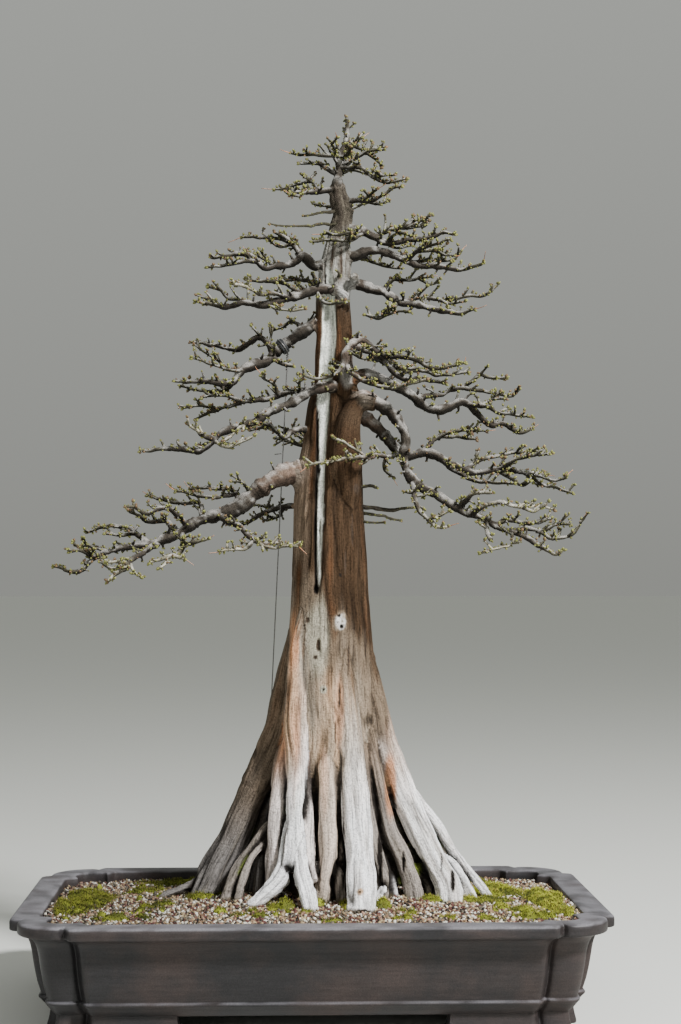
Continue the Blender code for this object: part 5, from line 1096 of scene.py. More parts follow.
                         (-70, 467, -13), (-78, 466, -14), (-90, 462, -14)]),
        (1.2, 0.8, [(-72, 467, -13), (-84, 463, -2), (-95, 463, 6)]),
    ],
    "limb_left_low": [
        (11.0, 8.2, 5.2, 2.8, 1.0, [(-26, 424, 9), (-48, 420, 4), (-62, 415, -2), (-74, 408, -4),
                                    (-86, 399, -3), (-98, 388, -6), (-110, 381, -8), (-124, 377, -10),
                                    (-138, 373, -12), (-150, 367, -14), (-162, 358, -16), (-176, 353, -18),
                                    (-190, 348, -20), (-205, 346, -21), (-220, 344, -22), (-232, 340, -23),
                                    (-242, 336, -24), (-250, 330, -25), (-257, 322, -26), (-266, 321, -27),
                                    (-276, 323, -28), (-284, 326, -30)]),
        (2.4, 0.9, [(-102, 387, -7), (-103, 396, 0), (-108, 402, 6), (-118, 404, 12), (-150, 404, 20)]),
        (1.6, 0.9, [(-105, 398, 2), (-125, 395, -12), (-140, 396, -16), (-163, 401, -24)]),
        (1.3, 0.8, [(-90, 398, -4), (-96, 408, -12), (-108, 411, -18)]),
        (1.9, 0.9, [(-137, 373, -12), (-139, 386, -4), (-144, 390, 2), (-154, 389, 6), (-168, 390, 10),
                    (-192, 396, 16)]),
        (2.8, 1.0, [(-152, 366, -14), (-164, 378, -24), (-172, 384, -30), (-182, 383, -34), (-196, 378, -38),
                    (-204, 384, -42), (-213, 385, -44)]),
        (2.6, 1.0, [(-160, 359, -16), (-168, 364, -8), (-174, 371, -2), (-192, 370, 8), (-200, 376, 12),
                    (-210, 380, 16)]),
        (2.8, 0.9, [(-190, 348, -20), (-202, 357, -12), (-210, 363, -6), (-230, 366, 4), (-252, 360, 12)]),
        (1.4, 0.8, [(-205, 359, -10), (-216, 357, -20), (-234, 358, -30)]),
        (1.5, 1.0, [(-232, 340, -23), (-246, 346, -14), (-258, 346, -8)]),
        (1.6, 1.0, [(-244, 334, -24), (-254, 340, -34), (-262, 342, -40), (-269, 341, -44)]),
        (1.4, 0.9, [(-240, 337, -24), (-236, 329, -36), (-228, 322, -42)]),
        (3.2, 1.0, [(-184, 349, -19), (-196, 340, -34), (-206, 334, -44), (-213, 326, -50), (-222, 319, -56),
                    (-232, 311, -60)]),
        (1.3, 0.8, [(-211, 328, -49), (-222, 330, -58), (-232, 330, -64)]),
        (1.2, 0.8, [(-210, 328, -48), (-204, 319, -58), (-200, 316, -64)]),
        (2.4, 0.9, [(-158, 359, -16), (-157, 347, -32), (-160, 340, -42), (-170, 336, -50),
                    (-190, 330, -60)]),
        (1.8, 1.1, [(-157, 348, -30), (-150, 348, -42), (-140, 351, -50), (-132, 353, -54)]),
        (1.2, 0.9, [(-172, 335, -51), (-176, 328, -62), (-180, 324, -66)]),
        (1.2, 0.9, [(-168, 337, -48), (-156, 333, -56)]),
        (3.2, 0.9, [(-120, 377, -10), (-112, 370, -30), (-102, 367, -42), (-94, 359, -50), (-86, 352, -56),
                    (-78, 348, -60), (-65, 349, -62), (-42, 346, -66)]),
        (1.5, 0.9, [(-87, 352, -55), (-96, 343, -60), (-112, 343, -68), (-119, 341, -72)]),
        (1.3, 0.9, [(-84, 351, -57), (-76, 345, -70), (-62, 344, -76), (-52, 347, -80)]),
    ],
    "limb_left_rear": [
        (2.8, 1.8, 0.9, [(-34, 386, 22), (-53, 386, 30), (-68, 382, 38), (-80, 377, 46), (-92, 371, 56),
                         (-102, 367, 68), (-110, 368, 84)]),
        (1.3, 0.8, [(-64, 383, 36), (-74, 386, 50), (-88, 388, 60), (-98, 386, 68)]),
        (1.3, 0.8, [(-56, 385, 31), (-62, 376, 42), (-72, 372, 52), (-78, 373, 60)]),
    ],
    "limb_back_1": [
        (3.6, 2.4, 0.9, [(-2, 676, 14), (2, 679, 28), (6, 683, 46), (4, 686, 64), (-4, 690, 84),
                         (-8, 696, 100)]),
        (1.5, 0.8, [(5, 683, 44), (18, 688, 58), (30, 692, 72)]),
        (1.5, 0.8, [(5, 685, 58), (-12, 688, 70), (-26, 690, 84)]),
    ],
    "limb_back_2": [
        (4.8, 3.2, 0.9, [(-8, 596, 16), (-12, 601, 32), (-18, 605, 52), (-24, 606, 76), (-28, 600, 100),
                         (-38, 604, 122), (-44, 610, 142)]),
        (2.0, 0.9, [(-16, 604, 46), (-30, 611, 62), (-46, 614, 80), (-60, 612, 96)]),
        (2.0, 0.9, [(-24, 606, 72), (-8, 610, 90), (4, 608, 108), (10, 612, 124)]),
        (1.4, 0.8, [(-28, 600, 98), (-44, 594, 108), (-58, 592, 122)]),
    ],
    "limb_back_3": [
        (5.4, 3.6, 0.9, [(0, 538, 20), (6, 542, 38), (18, 546, 58), (30, 542, 82), (36, 534, 104),
                         (48, 536, 128), (56, 542, 148)]),
        (2.2, 0.9, [(16, 545, 54), (30, 540, 68), (42, 534, 84), (54, 530, 100)]),
        (2.2, 0.9, [(29, 542, 80), (16, 548, 98), (2, 546, 116), (-6, 550, 134)]),
        (1.4, 0.8, [(37, 534, 106), (52, 526, 116), (66, 526, 132)]),
    ],
    "limb_back_4": [
        (6.4, 4.2, 0.9, [(-12, 446, 26), (-16, 452, 46), (-22, 457, 66), (-30, 450, 90), (-34, 452, 114),
                         (-42, 458, 138), (-48, 466, 160)]),
        (2.4, 0.9, [(-20, 456, 60), (-38, 462, 76), (-58, 460, 92), (-74, 464, 108)]),
        (2.4, 0.9, [(-29, 450, 88), (-14, 456, 106), (0, 452, 124), (8, 456, 144)]),
        (1.5, 0.8, [(-34, 446, 112), (-50, 450, 122), (-64, 454, 138)]),
    ],
}

limbForm = {"wobble": 0.0008, "spacing": 0.0026, "inCollar": 0.010, "thick": 0.0042, "twigRadius": 0.00135,
            "twigPitch": 0.0105, "twigLength": (0.007, 0.021), "budPitch": 0.0040,
            "budLength": (0.0028, 0.0054)}
# A tube has 7 sides, and so many more when it is thicker than each size
limbSides = [(0.002, 1), (0.0035, 4), (0.006, 4)]
budPoints = 12
# top is the pale tone of the tops of the wood, partly bleaching and partly painted highlight
limbTones = {"top": (0.50, 0.485, 0.455), "mid": (0.050, 0.042, 0.033), "twig": (0.050, 0.046, 0.028),
             "twigPale": (0.42, 0.39, 0.28), "red": (0.20, 0.135, 0.100), "collar": (0.17, 0.145, 0.118),
             "budFoot": (0.060, 0.042, 0.022), "budBody": (0.135, 0.140, 0.034),
             "budTip": (0.31, 0.32, 0.080),
             "budBrown": (0.15, 0.090, 0.042), "shoot": (0.62, 0.27, 0.13)}


def budTones(count):
    # most buds are yellow-green with a brown foot; some are brown or fresh green all over
    kind = draw.random(count)[:, None]
    body = np.where(kind < 0.22, limbTones["budBrown"], limbTones["budBody"])
    body = body * draw.uniform(0.7, 1.35, (count, 1))
    tip = np.where(kind < 0.15, limbTones["budBrown"], limbTones["budTip"])
    tip = tip * draw.uniform(0.75, 1.2, (count, 1))
    foot = np.asarray(limbTones["budFoot"]) * draw.uniform(0.6, 1.3, (count, 1))
    return foot, body, tip


def addBuds(bundle, buds, sizes):
    # each bud is two rings of five and two poles: plump near its foot, pointed at its tip
    centres, heads, shares = (np.array(part) for part in zip(*buds))
    centres, heads, size = centres[:, None], unit(heads), (shares * sizes)[:, None, None]
    across = unit(np.cross(heads, np.where(np.abs(heads[:, 2:]) < 0.9, (0.0, 0, 1), (1.0, 0, 0))))
    upward = np.cross(heads, across)
    turns = np.linspace(0, 2 * np.pi, 5, endpoint=False)[None, :, None]
    ring, heads = np.cos(turns) * across[:, None] + np.sin(turns) * upward[:, None], heads[:, None]
    lower = centres + heads * size * 0.30 + ring * size * 0.36
    upper = centres + heads * size * 0.68 + ring * size * 0.27
    points = np.concatenate([centres - heads * size * 0.1, lower, upper, centres + heads * size], axis=1)
    foot, body, tip = budTones(len(buds))
    tone = np.concatenate([foot[:, None], np.repeat(blend(foot, body, 0.55)[:, None], 5, 1),
                           np.repeat(body[:, None], 5, 1), tip[:, None]], axis=1)
    j = np.arange(5)
    k = (j + 1) % 5
    quads = np.column_stack([1 + j, 1 + k, 6 + k, 6 + j])
    tris = np.vstack([np.column_stack([j * 0, 1 + k, 1 + j]), np.column_stack([j * 0 + 11, 6 + j, 6 + k])])
    shift = (np.arange(len(buds)) * budPoints)[:, None, None]
    points = points.reshape(-1, 3)
    addShape(bundle, points, quads + shift, tris + shift, tone.reshape(-1, 3), points / 0.002, finish=1)


def limbTone(route, radii, reddish=None):
    # thick wood is reddish near the trunk and grey further out, thin wood is olive brown
    s = toSketch(route)
    thick = ramp(0.0016, 0.0034, radii)
    tone = blend(limbTones["twig"], limbTones["mid"], thick)
    pale = ramp(-34, -60, s[:, 2])
    tone = blend(tone, limbTones["twigPale"], pale * (1 - thick) * 0.75)
    return blend(tone, limbTones["red"], reddish(s) * thick) if reddish else tone


def reddishCollar(s):
    # how reddish a limb is, from its place on the sketch grid: faint close to the trunk
    return 0.25 * ramp(30, 22, np.abs(s[:, 0])) * ramp(640, 560, s[:, 1])


def reddishRight(s):
    return ramp(46, 26, s[:, 0]) * 0.8


def reddishLow(s):
    return 0.8 * ramp(-100, -50, s[:, 0])


reddishLimbs = {"limb_left_low": reddishLow, "limb_right_low": reddishRight, "limb_right_7": reddishRight}


def knobbly(route, radii, seed):
    # radius swells at irregular nodes, and thin wood bends a little from node to node
    along = lengthsAlong(route)

    def nodes(pitch, shift, layer):
        return cellNoise(np.column_stack([along / pitch, along * 0 + seed, along * 0 + shift]), layer)

    thin = ramp(0.0045, 0.0015, radii)
    radii = radii * (1 + 0.20 * nodes(0.008, 0, 5) * (1 - 0.4 * thin)
                     + (0.11 + 0.17 * thin) * nodes(0.0028, 3, 6) + 0.40 * thin)
    sway = np.stack([nodes(0.009, shift, 7) for shift in (11, 12, 13)], axis=1)
    ease = ramp(0, 0.010, along)[:, None]
    return route + sway * ease * (0.25 + thin[:, None]) * limbForm["wobble"], radii


def twigRoute(root, way, length, bend):
    # a short curve that starts along its way and turns up towards the light
    share = np.linspace(0, 1, 6)[:, None]
    return root + way * length * share + bend * length * share ** 2


def growTwig(bundle, buds, root, way, length, radius, seed, level=0):
    # a thin crooked twig with buds all along, and at times a shorter one growing out of it
    bend = np.array([draw.normal(0, 0.16), draw.normal(0, 0.16), draw.uniform(-0.05, 0.42)])
    route = twigRoute(root, way, length, bend)
    radii = np.linspace(radius, max(radius * 0.62, 0.00055), len(route))
    route, radii = knobbly(route, radii, seed)
    addTube(bundle, route, radii, 5, limbTone(route, radii) * draw.uniform(0.8, 1.3), seed=seed)
    tip, head = route[-1], unit(route[-1] - route[-2])
    for _ in range(int(draw.integers(2, 4))):
        buds.append((tip - head * 0.0006, head + draw.normal(0, 0.55, 3) + (0, 0, 0.15), 1.05))
    spots = int(length / limbForm["budPitch"])
    for spot in range(spots):
        at = (spot + draw.uniform(0.2, 0.9)) / max(spots, 1) * 5
        place = route[min(int(at), 4)] * (1 - at % 1) + route[min(int(at) + 1, 5)] * (at % 1)
        side = unit(np.cross(head, draw.normal(0, 1, 3)) + (0, 0, 0.35))
        buds.append((place + side * radius * 0.5, side + head * 0.6, draw.uniform(0.6, 1.0)))
    if level == 0 and length > 0.012 and draw.random() < 0.6:
        side = np.cross(head, (0, 0, 1)) * draw.choice((-1, 1)) + head * 0.8
        side = unit(side + (0, 0, draw.uniform(-0.2, 0.5)))
        length = length * draw.uniform(0.4, 0.65)
        growTwig(bundle, buds, route[3], side, length, radius * 0.85, seed + 0.7, 1)


def growStub(bundle, buds, root, way, size, seed):
    # a short thick spur with a crown of buds, as old limbs carry all along
    route = twigRoute(root, way, size * draw.uniform(1.5, 2.4), draw.normal(0, 0.2, 3) + (0, 0, 0.2))
    tone = np.asarray(limbTones["mid"]) * draw.uniform(0.7, 1.5)
    addTube(bundle, route, np.linspace(0.62, 0.36, len(route)) * size, 6, tone, lobes=0.08, seed=seed)
    for _ in range(int(draw.integers(1, 4))):
        buds.append((route[-1], unit(route[-1] - route[0]) + draw.normal(0, 0.6, 3), draw.uniform(0.7, 1.1)))


def growShoot(bundle, root, way, length):
    # last year's thin orange shoot, almost straight
    route = twigRoute(root, unit(way), length, draw.normal(0, 0.10, 3))
    tone = np.asarray(limbTones["shoot"]) * draw.uniform(0.8, 1.2)
    addTube(bundle, route, np.linspace(0.00055, 0.00030, len(route)), 4, tone, seed=length * 1000)


def strokeRoute(stations, line, first):
    # the first stroke starts in the trunk's collar, the others are flared at their foot
    anchors, sizes = fromSketch(line), np.array(stations) * step
    if first:
        marks = lengthsAlong(anchors)
        sizes = np.interp(marks, np.linspace(0, marks[-1], len(stations)), sizes)
        anchors[0] = anchors[1] + (anchors[0] - anchors[1]) * min(1.0, limbForm["inCollar"] / marks[1])
        route = smoothRoute(anchors, sizes, limbForm["spacing"])[0]
        return route, np.interp(lengthsAlong(route), lengthsAlong(anchors), sizes)
    route, radii = smoothRoute(anchors, sizes, limbForm["spacing"])
    return route, radii * (1 + 0.5 * np.exp(-lengthsAlong(route) / 0.0035))


def growAlong(bundle, buds, route, radii, first, seed):
    # side twigs at an uneven pitch, spurs on thick wood, loose buds, a tuft of buds at the tip
    along, heads = lengthsAlong(route), unit(np.gradient(route, axis=0))
    at = along[-1] * (0.34 if first else 0.12)
    while at < along[-1]:
        k = int(np.searchsorted(along, at)) - 1
        level = unit(np.cross(heads[k], (0, 0, 1.0))) * draw.choice((-1, 1))
        way = unit(heads[k] * draw.uniform(0.2, 0.9) + level * draw.uniform(0.2, 1.0)
                   + np.array([0, 0, draw.uniform(-0.25, 0.75)]))
        length = draw.uniform(*limbForm["twigLength"]) * (1.0 - 0.45 * (at / along[-1]))
        if radii[k] < limbForm["thick"] or draw.random() < 0.45:
            growTwig(bundle, buds, route[k], way, length, limbForm["twigRadius"], seed + at * 100)
        at += limbForm["twigPitch"] * draw.uniform(0.6, 1.5)
    for k in range(8, len(route), 5):
        if radii[k] > 0.0026 and draw.random() < 0.75:
            way = unit(np.cross(heads[k], draw.normal(0, 1, 3)) + (0, 0, 0.15))
            size = min(radii[k] * 0.75, 0.0034)
            growStub(bundle, buds, route[k] + way * (radii[k] - size * 0.4), way, size, seed + k)
    spots = int(along[-1] / limbForm["budPitch"] * (0.9 if first else 1.25))
    for share in draw.uniform(0.3 if first else 0.1, 1.0, spots):
        k = min(int(share * (len(route) - 1)), len(route) - 2)
        if radii[k] > limbForm["thick"] and draw.random() < 0.7:
            continue
        side = unit(np.cross(heads[k], draw.normal(0, 1, 3)) + (0, 0, 0.5))
        buds.append((route[k] + side * radii[k] * 0.75, side + heads[k] * 0.4, draw.uniform(0.6, 1.05)))
    for _ in range(4):
        buds.append((route[-1], heads[-1] + draw.normal(0, 0.55, 3), 1.15))
    if draw.random() < 0.30:
        way = heads[-1] + draw.normal(0, 0.35, 3) + (0, 0, 0.25)
        growShoot(bundle, route[-1], way, draw.uniform(0.008, 0.020))


def weatheredAndShaded(mesh, bundle, budCount):
    # wood is bleached on top in patches, partly as a painted highlight, and darkened underneath as painted
    # shade; buds only get the painted shade underneath
    points, tone = np.vstack(bundle["points"]), np.vstack(bundle["tone"])
    wood = np.arange(len(points)) < bundle["count"] - budPoints * budCount
    up = vertexNormals(mesh)[:, 2]
    patch = layeredNoise(points / 0.009, 2, 31)
    lit, dark = ramp(0.15, 0.85, 0.8 * up + 1.2 * patch), ramp(0.25, -0.5, up + 0.35 * patch)[:, None]
    bleachedAndLit = blend(tone, tone * 0.5 + np.array(limbTones["top"]) * 0.65, lit * 0.8)
    return np.where(wood[:, None], bleachedAndLit * (1 - 0.70 * dark), tone * (1 - 0.25 * dark))


def makeLimb(node, strokes):
    bundle, buds = newBundle(), []
    for number, (*stations, line) in enumerate(strokes):
        first, seed = number == 0, number * 3.1 + len(node)
        route, radii = knobbly(*strokeRoute(stations, line, first), seed)
        sides = 7 + sum(more for size, more in limbSides if radii.max() > size)
        tone = limbTone(route, radii, reddishLimbs.get(node, reddishCollar)) * draw.uniform(0.85, 1.15)
        addTube(bundle, route, radii, sides, tone, lobes=0.05, seed=seed)
        growAlong(bundle, buds, route, radii, first, seed)
    addBuds(bundle, buds, draw.uniform(*limbForm["budLength"], len(buds)))
    first, *others = node.split("_")
    name = first + "".join(word.capitalize() for word in others) + "Spray"
    mesh = bundleMesh(bundle, name, grain=True)
    setAttributes(mesh, weatheredAndShaded(mesh, bundle, len(buds)))
    return addPiece(name, mesh, [limbBark, budScales], [node])


def makeTrunkShoots():
    bundle, buds = newBundle(), []
    for number, (*stations, line) in enumerate(trunkShoots):
        route, radii = smoothRoute(fromSketch(line), np.array(stations) * step, limbForm["spacing"])
        route, radii = knobbly(route, radii, number)
        addTube(bundle, route, radii, 6, limbTone(route, radii), seed=number)
        heads = unit(np.gradient(route, axis=0))
        for k in range(3, len(route)):
            side = unit(np.cross(heads[k], draw.normal(0, 1, 3)) + (0, 0, 0.4))
            if draw.random() < 0.6:
                buds.append((route[k], side + heads[k] * 0.5, draw.uniform(0.6, 1.0)))
        for _ in range(3):
            buds.append((route[-1], heads[-1] + draw.normal(0, 0.5, 3), 1.1))
    addBuds(bundle, buds, 0.0034)
    mesh = bundleMesh(bundle, "trunkTwigs", tone=True, grain=True)
    return addPiece("trunkTwigs", mesh, [limbBark, budScales])


print("trunk made:", len(makeTrunk().data.polygons), "faces")
makeTrunkShoots()
limbFaces = [len(makeLimb(node, strokes).data.polygons) for node, strokes in limbLines.items()]
print("limbs made:", sum(limbFaces), "faces, largest", max(limbFaces))


# The pot

potForm = {"length": 0.706, "depth": 0.470, "lobeRadius": 0.052, "setBack": (0.011, 0.009),
           "notchWidth": 0.013, "notchDepth": 0.017, "drift": 0.5, "drainX": 0.150,
           "drainRadius": 0.014, "footStart": (0.157, 0.090), "footInset": 0.0455,
           "footInside": [(0.157, 0.158), (0.250, 0.149), (0.264, 0.137), (0.272, 0.090)]}
# The outside of a foot from the ground up, as (spread, height)
footWall = [(-0.0022, 0.0), (-0.0031, 0.0007), (-0.0034, 0.0020), (-0.0030, 0.0050), (-0.0020, 0.0085),
            (-0.0008, 0.0140), (0.0, 0.0200), (0.0, 0.0265)]
# The pot's wall from its underside over the rim to its floor, as (inset, height)
potWall = [
    (0.0470, 0.0218), (0.0460, 0.0220), (0.0438, 0.0237), (0.0405, 0.0268), (0.0376, 0.0300),
    (0.0353, 0.0328), (0.0337, 0.0345), (0.0327, 0.0355), (0.0323, 0.0366), (0.0325, 0.0379),
    (0.0334, 0.0388), (0.0345, 0.0393), (0.0350, 0.0400), (0.0348, 0.0412), (0.0340, 0.0440),
    (0.0325, 0.0490), (0.0308, 0.0545), (0.0294, 0.0610), (0.0280, 0.0680), (0.0268, 0.0750),
    (0.0257, 0.0820), (0.0247, 0.0890), (0.0236, 0.0950), (0.0223, 0.1000), (0.0205, 0.1048),
    (0.0178, 0.1088), (0.0142, 0.1117), (0.0098, 0.1136), (0.0054, 0.1147), (0.0024, 0.1154),
    (0.0008, 0.1162), (0.0001, 0.1174), (0.0, 0.1190), (0.0, 0.1235), (0.0002, 0.1264), (0.0009, 0.1282),
    (0.0024, 0.1294), (0.0050, 0.1300), (0.0120, 0.1300), (0.0220, 0.1300), (0.0290, 0.1299),
    (0.0318, 0.1295), (0.0334, 0.1285), (0.0341, 0.1265), (0.0345, 0.1200), (0.0352, 0.1080),
    (0.0364, 0.0900), (0.0377, 0.0740), (0.0400, 0.0560), (0.0450, 0.0345), (0.0500, 0.0343),
]


def potQuarter(inset):
    # straight side, notch, quarter round lobe, notch, straight side
    halfX, halfY = potForm["length"] / 2 - inset, potForm["depth"] / 2 - inset
    lobeX = potForm["length"] / 2 - potForm["setBack"][0] - potForm["lobeRadius"]
    lobeY = potForm["depth"] / 2 - potForm["setBack"][1] - potForm["lobeRadius"]
    radius, drift = potForm["lobeRadius"] - inset, potForm["drift"] * inset
    sideEnd, notch = potForm["notchWidth"] + drift, potForm["notchWidth"] / 2 + drift
    deep = potForm["notchDepth"]
    turn = np.linspace(0, np.pi / 2, 15)
    lobe = np.column_stack([lobeX + radius * np.sin(turn), -(lobeY + radius * np.cos(turn))])
    lobe[0, 0], lobe[-1, 1] = lobeX - drift, drift - lobeY
    corners = [((0, -halfY), 20), ((lobeX - sideEnd - 0.012, -halfY), 6), ((lobeX - sideEnd, -halfY), 7),
               ((lobeX - notch, deep - halfY), 7), (tuple(lobe[0]), 0), (tuple(lobe[-1]), 7),
               ((halfX - deep, notch - lobeY), 7), ((halfX, sideEnd - lobeY), 6),
               ((halfX, sideEnd - lobeY + 0.012), 14), ((halfX, 0), 0)]
    parts = []
    for (start, count), (stop, _) in zip(corners, corners[1:]):
        share = np.arange(count)[:, None] / max(count, 1)
        parts.append(np.array(start) + (np.array(stop) - np.array(start)) * share)
        if count == 0:
            parts.append(lobe[:-1])
    return np.vstack(parts + [[(halfX, 0)]])


def potOutline(inset, soften=4):
    # the quarter mirrored three times, with its steps softened by a running mean
    quarter = potQuarter(inset)
    ring = np.vstack([quarter, quarter[-2::-1] * (1, -1), -quarter[1:], quarter[-2:0:-1] * (-1, 1)])
    for _ in range(soften):
        ring = 0.5 * ring + 0.25 * (np.roll(ring, 1, axis=0) + np.roll(ring, -1, axis=0))
    return ring


def ringLoft(rings):
    # rings of equal length joined in a closed skin, with a pole at either end
    points = np.vstack([np.vstack(rings), rings[0].mean(axis=0), rings[-1].mean(axis=0)])
    return points, *sleeveFaces(len(rings), len(rings[0]))


def atHeight(ring, height):
    # a flat ring of (x, y) lifted to its height
    return np.column_stack([ring, ring[:, 0] * 0 + height])


def footShape(sideX, sideY):
    # outside the foot follows the pot and flares a little, inside it is an angle
    startX, startY = potForm["footStart"]
    rings = []
    for spread, height in footWall:
        outer = potQuarter(potForm["footInset"] + spread)
        outer = outer[(outer[:, 0] > startX + 0.002) & (-outer[:, 1] > startY + 0.002)]
        outer = np.vstack([[startX + spread, outer[0, 1]], outer, [outer[-1, 0], -startY - spread]])
        for _ in range(3):
            outer[1:-1] = 0.5 * outer[1:-1] + 0.25 * (outer[2:] + outer[:-2])
        inner = (np.array(potForm["footInside"]) + spread) * (1, -1)
        rings.append(atHeight(np.vstack([outer, inner[::-1]]) * (sideX, sideY), height))
    points, quads, tris = ringLoft(rings)
    if sideX * sideY < 0:
        quads, tris = quads[:, ::-1], tris[:, ::-1]
    return points, quads, tris


# pale is the tone of the worn edges and of the painted highlight on them
potLook = {"tone": (0.019, 0.018, 0.019), "pale": (0.17, 0.165, 0.18), "warm": (0.044, 0.032, 0.029),
           "roughness": 0.42, "specular": 0.22, "bump": 0.30, "bumpDepth": 0.0006, "cloudScale": 9.0,
           "streakScale": 1.6, "streakSqueeze": (14.0, 14.0, 190.0), "pitScale": 620.0}


def potMaterial():
    # dark stoneware: reddish and grey cloudings, fine throwing streaks, paler edges, partly worn and partly
    # a painted highlight
    look = potLook
    material, tree, shader = newMaterial("darkStoneware", look["roughness"], 0.0, look["specular"])
    place = placeNode(tree)
    clouds = noiseNode(tree, place, look["cloudScale"], 5.0)
    squeeze = addNode(tree, "ShaderNodeMapping", {"Vector": place}, Scale=look["streakSqueeze"])
    lines = noiseNode(tree, squeeze.outputs["Vector"], look["streakScale"], 4.0)
    fine = noiseNode(tree, place, look["pitScale"], 3.0)
    warm = rampNode(tree, clouds, [(0.42, 0.0), (0.62, 0.85)])
    body = mixTones(tree, "MIX", warm, look["tone"], look["warm"])
    body = shadedBy(tree, body, lines, [(0.35, 0.86), (0.62, 1.12)])
    body = mixTones(tree, "MIX", attributeNode(tree, "tone"), body, look["pale"])
    body = shadedBy(tree, body, fine, [(0.35, 0.80), (0.65, 1.16)])
    tree.links.new(rampNode(tree, clouds, [(0.35, 0.40), (0.65, 0.58)]), shader.inputs["Roughness"])
    height = addNode(tree, "ShaderNodeMath", {0: lines, 1: fine}, operation="ADD").outputs[0]
    dressShader(tree, shader, body, height, look["bump"], look["bumpDepth"])
    return material


def drainCutters():
    # two upright rods that cut the drain holes out of the floor
    cutters = bpy.data.collections.new("drains")
    bpy.context.scene.collection.children.link(cutters)
    for side in (1, -1):
        route = np.array([(side * potForm["drainX"], 0, z) for z in (0.012, 0.055)])
        drain = newBundle()
        addTube(drain, route, np.full(2, potForm["drainRadius"]), 40)
        cutters.objects.link(bpy.data.objects.new("drain", bundleMesh(drain, "drain")))
    return cutters


def makePot():
    parts = newBundle()
    addShape(parts, *ringLoft([atHeight(potOutline(inset), height) for inset, height in potWall]))
    for sideX, sideY in ((1, 1), (1, -1), (-1, 1), (-1, -1)):
        addShape(parts, *footShape(sideX, sideY))
    cutters = drainCutters()
    mesh = reshaped(bundleMesh(parts, "stonewarePot"), "BOOLEAN", operation="DIFFERENCE",
                    operand_type="COLLECTION", collection=cutters, use_self=True)
    for extra in list(cutters.objects):
        bpy.data.objects.remove(extra, do_unlink=True)
    bpy.data.collections.remove(cutters)
    # the rim's top, its edge and the ledge at the base are paler, partly worn and partly a painted highlight
    # where the rim faces up
    points, normals = vertexPoints(mesh), vertexNormals(mesh)
    spots = layeredNoise(points / 0.016, 3, 40)
    rim = ramp(0.1255, 0.1290, points[:, 2]) * ramp(0.2, 0.9, normals[:, 2])
    lip = hill(0.1286, 0.0016, points[:, 2]) + 0.9 * hill(0.0385, 0.0012, points[:, 2])
    wearAndSheen = np.clip(0.50 * rim * (0.9 + 0.6 * spots) + 0.7 * lip * ramp(-0.5, 0.5, spots), 0, 0.9)
    setAttributes(mesh, np.repeat(wearAndSheen[:, None], 3, axis=1))
    mesh.shade_smooth()
    mesh.set_sharp_from_angle(angle=math.radians(34))
    mesh.materials.clear()
    return addPiece("stonewarePot", mesh, [potMaterial()], ["pot"])


# The soil, its grit and the moss

def insidePot(x, y, inset):
    # even-odd test against the pot's outline at an inset
    ring = potOutline(inset)
    ends = np.roll(ring, -1, axis=0)
    crossing = (ring[:, 1] > y[:, None]) != (ends[:, 1] > y[:, None])
    rise = np.where(ends[:, 1] == ring[:, 1], 1e-9, ends[:, 1] - ring[:, 1])
    reach = ring[:, 0] + (ends[:, 0] - ring[:, 0]) / rise * (y[:, None] - ring[:, 1])
    return (crossing & (x[:, None] < reach)).sum(axis=1) % 2 == 1


# The soil's side along the pot's wall as (inset, height), then its top as shares of its edge
soilForm = {"wall": [(0.0455, 0.0350), (0.0440, 0.0400), (0.0382, 0.0740), (0.0369, 0.0900),
                     (0.0357, 0.1100)],
            "edge": 0.0352, "shares": (1.0, 0.985, 0.96, 0.92, 0.86, 0.78, 0.70, 0.60, 0.50, 0.40, 0.28,
                                       0.15, 0.04)}


def makeSoil():
    # packed against the pot's inside, level with the lowest grains on top
    rings = [atHeight(potOutline(inset), height) for inset, height in soilForm["wall"]]
    for share in soilForm["shares"]:
        ring = potOutline(soilForm["edge"]) * share
        rings.append(atHeight(ring, soilHeight(ring[:, 0], ring[:, 1]) - 0.0010))
    return addPiece("soilBed", meshFrom("soilBed", *ringLoft(rings)), [soilMaterial], ["soil"])


gritForm = {"pitch": 0.00405, "half": (0.0011, 0.0023), "sink": 0.0006, "reach": (0.322, 0.202),
            "inset": 0.0355}
gritTones = np.array([(0.80, 0.76, 0.66), (0.46, 0.35, 0.20), (0.30, 0.185, 0.11), (0.13, 0.05, 0.04),
                      (0.15, 0.13, 0.095), (0.025, 0.020, 0.016), (0.44, 0.27, 0.19)])
gritShares = [0.17, 0.18, 0.13, 0.16, 0.17, 0.15, 0.04]


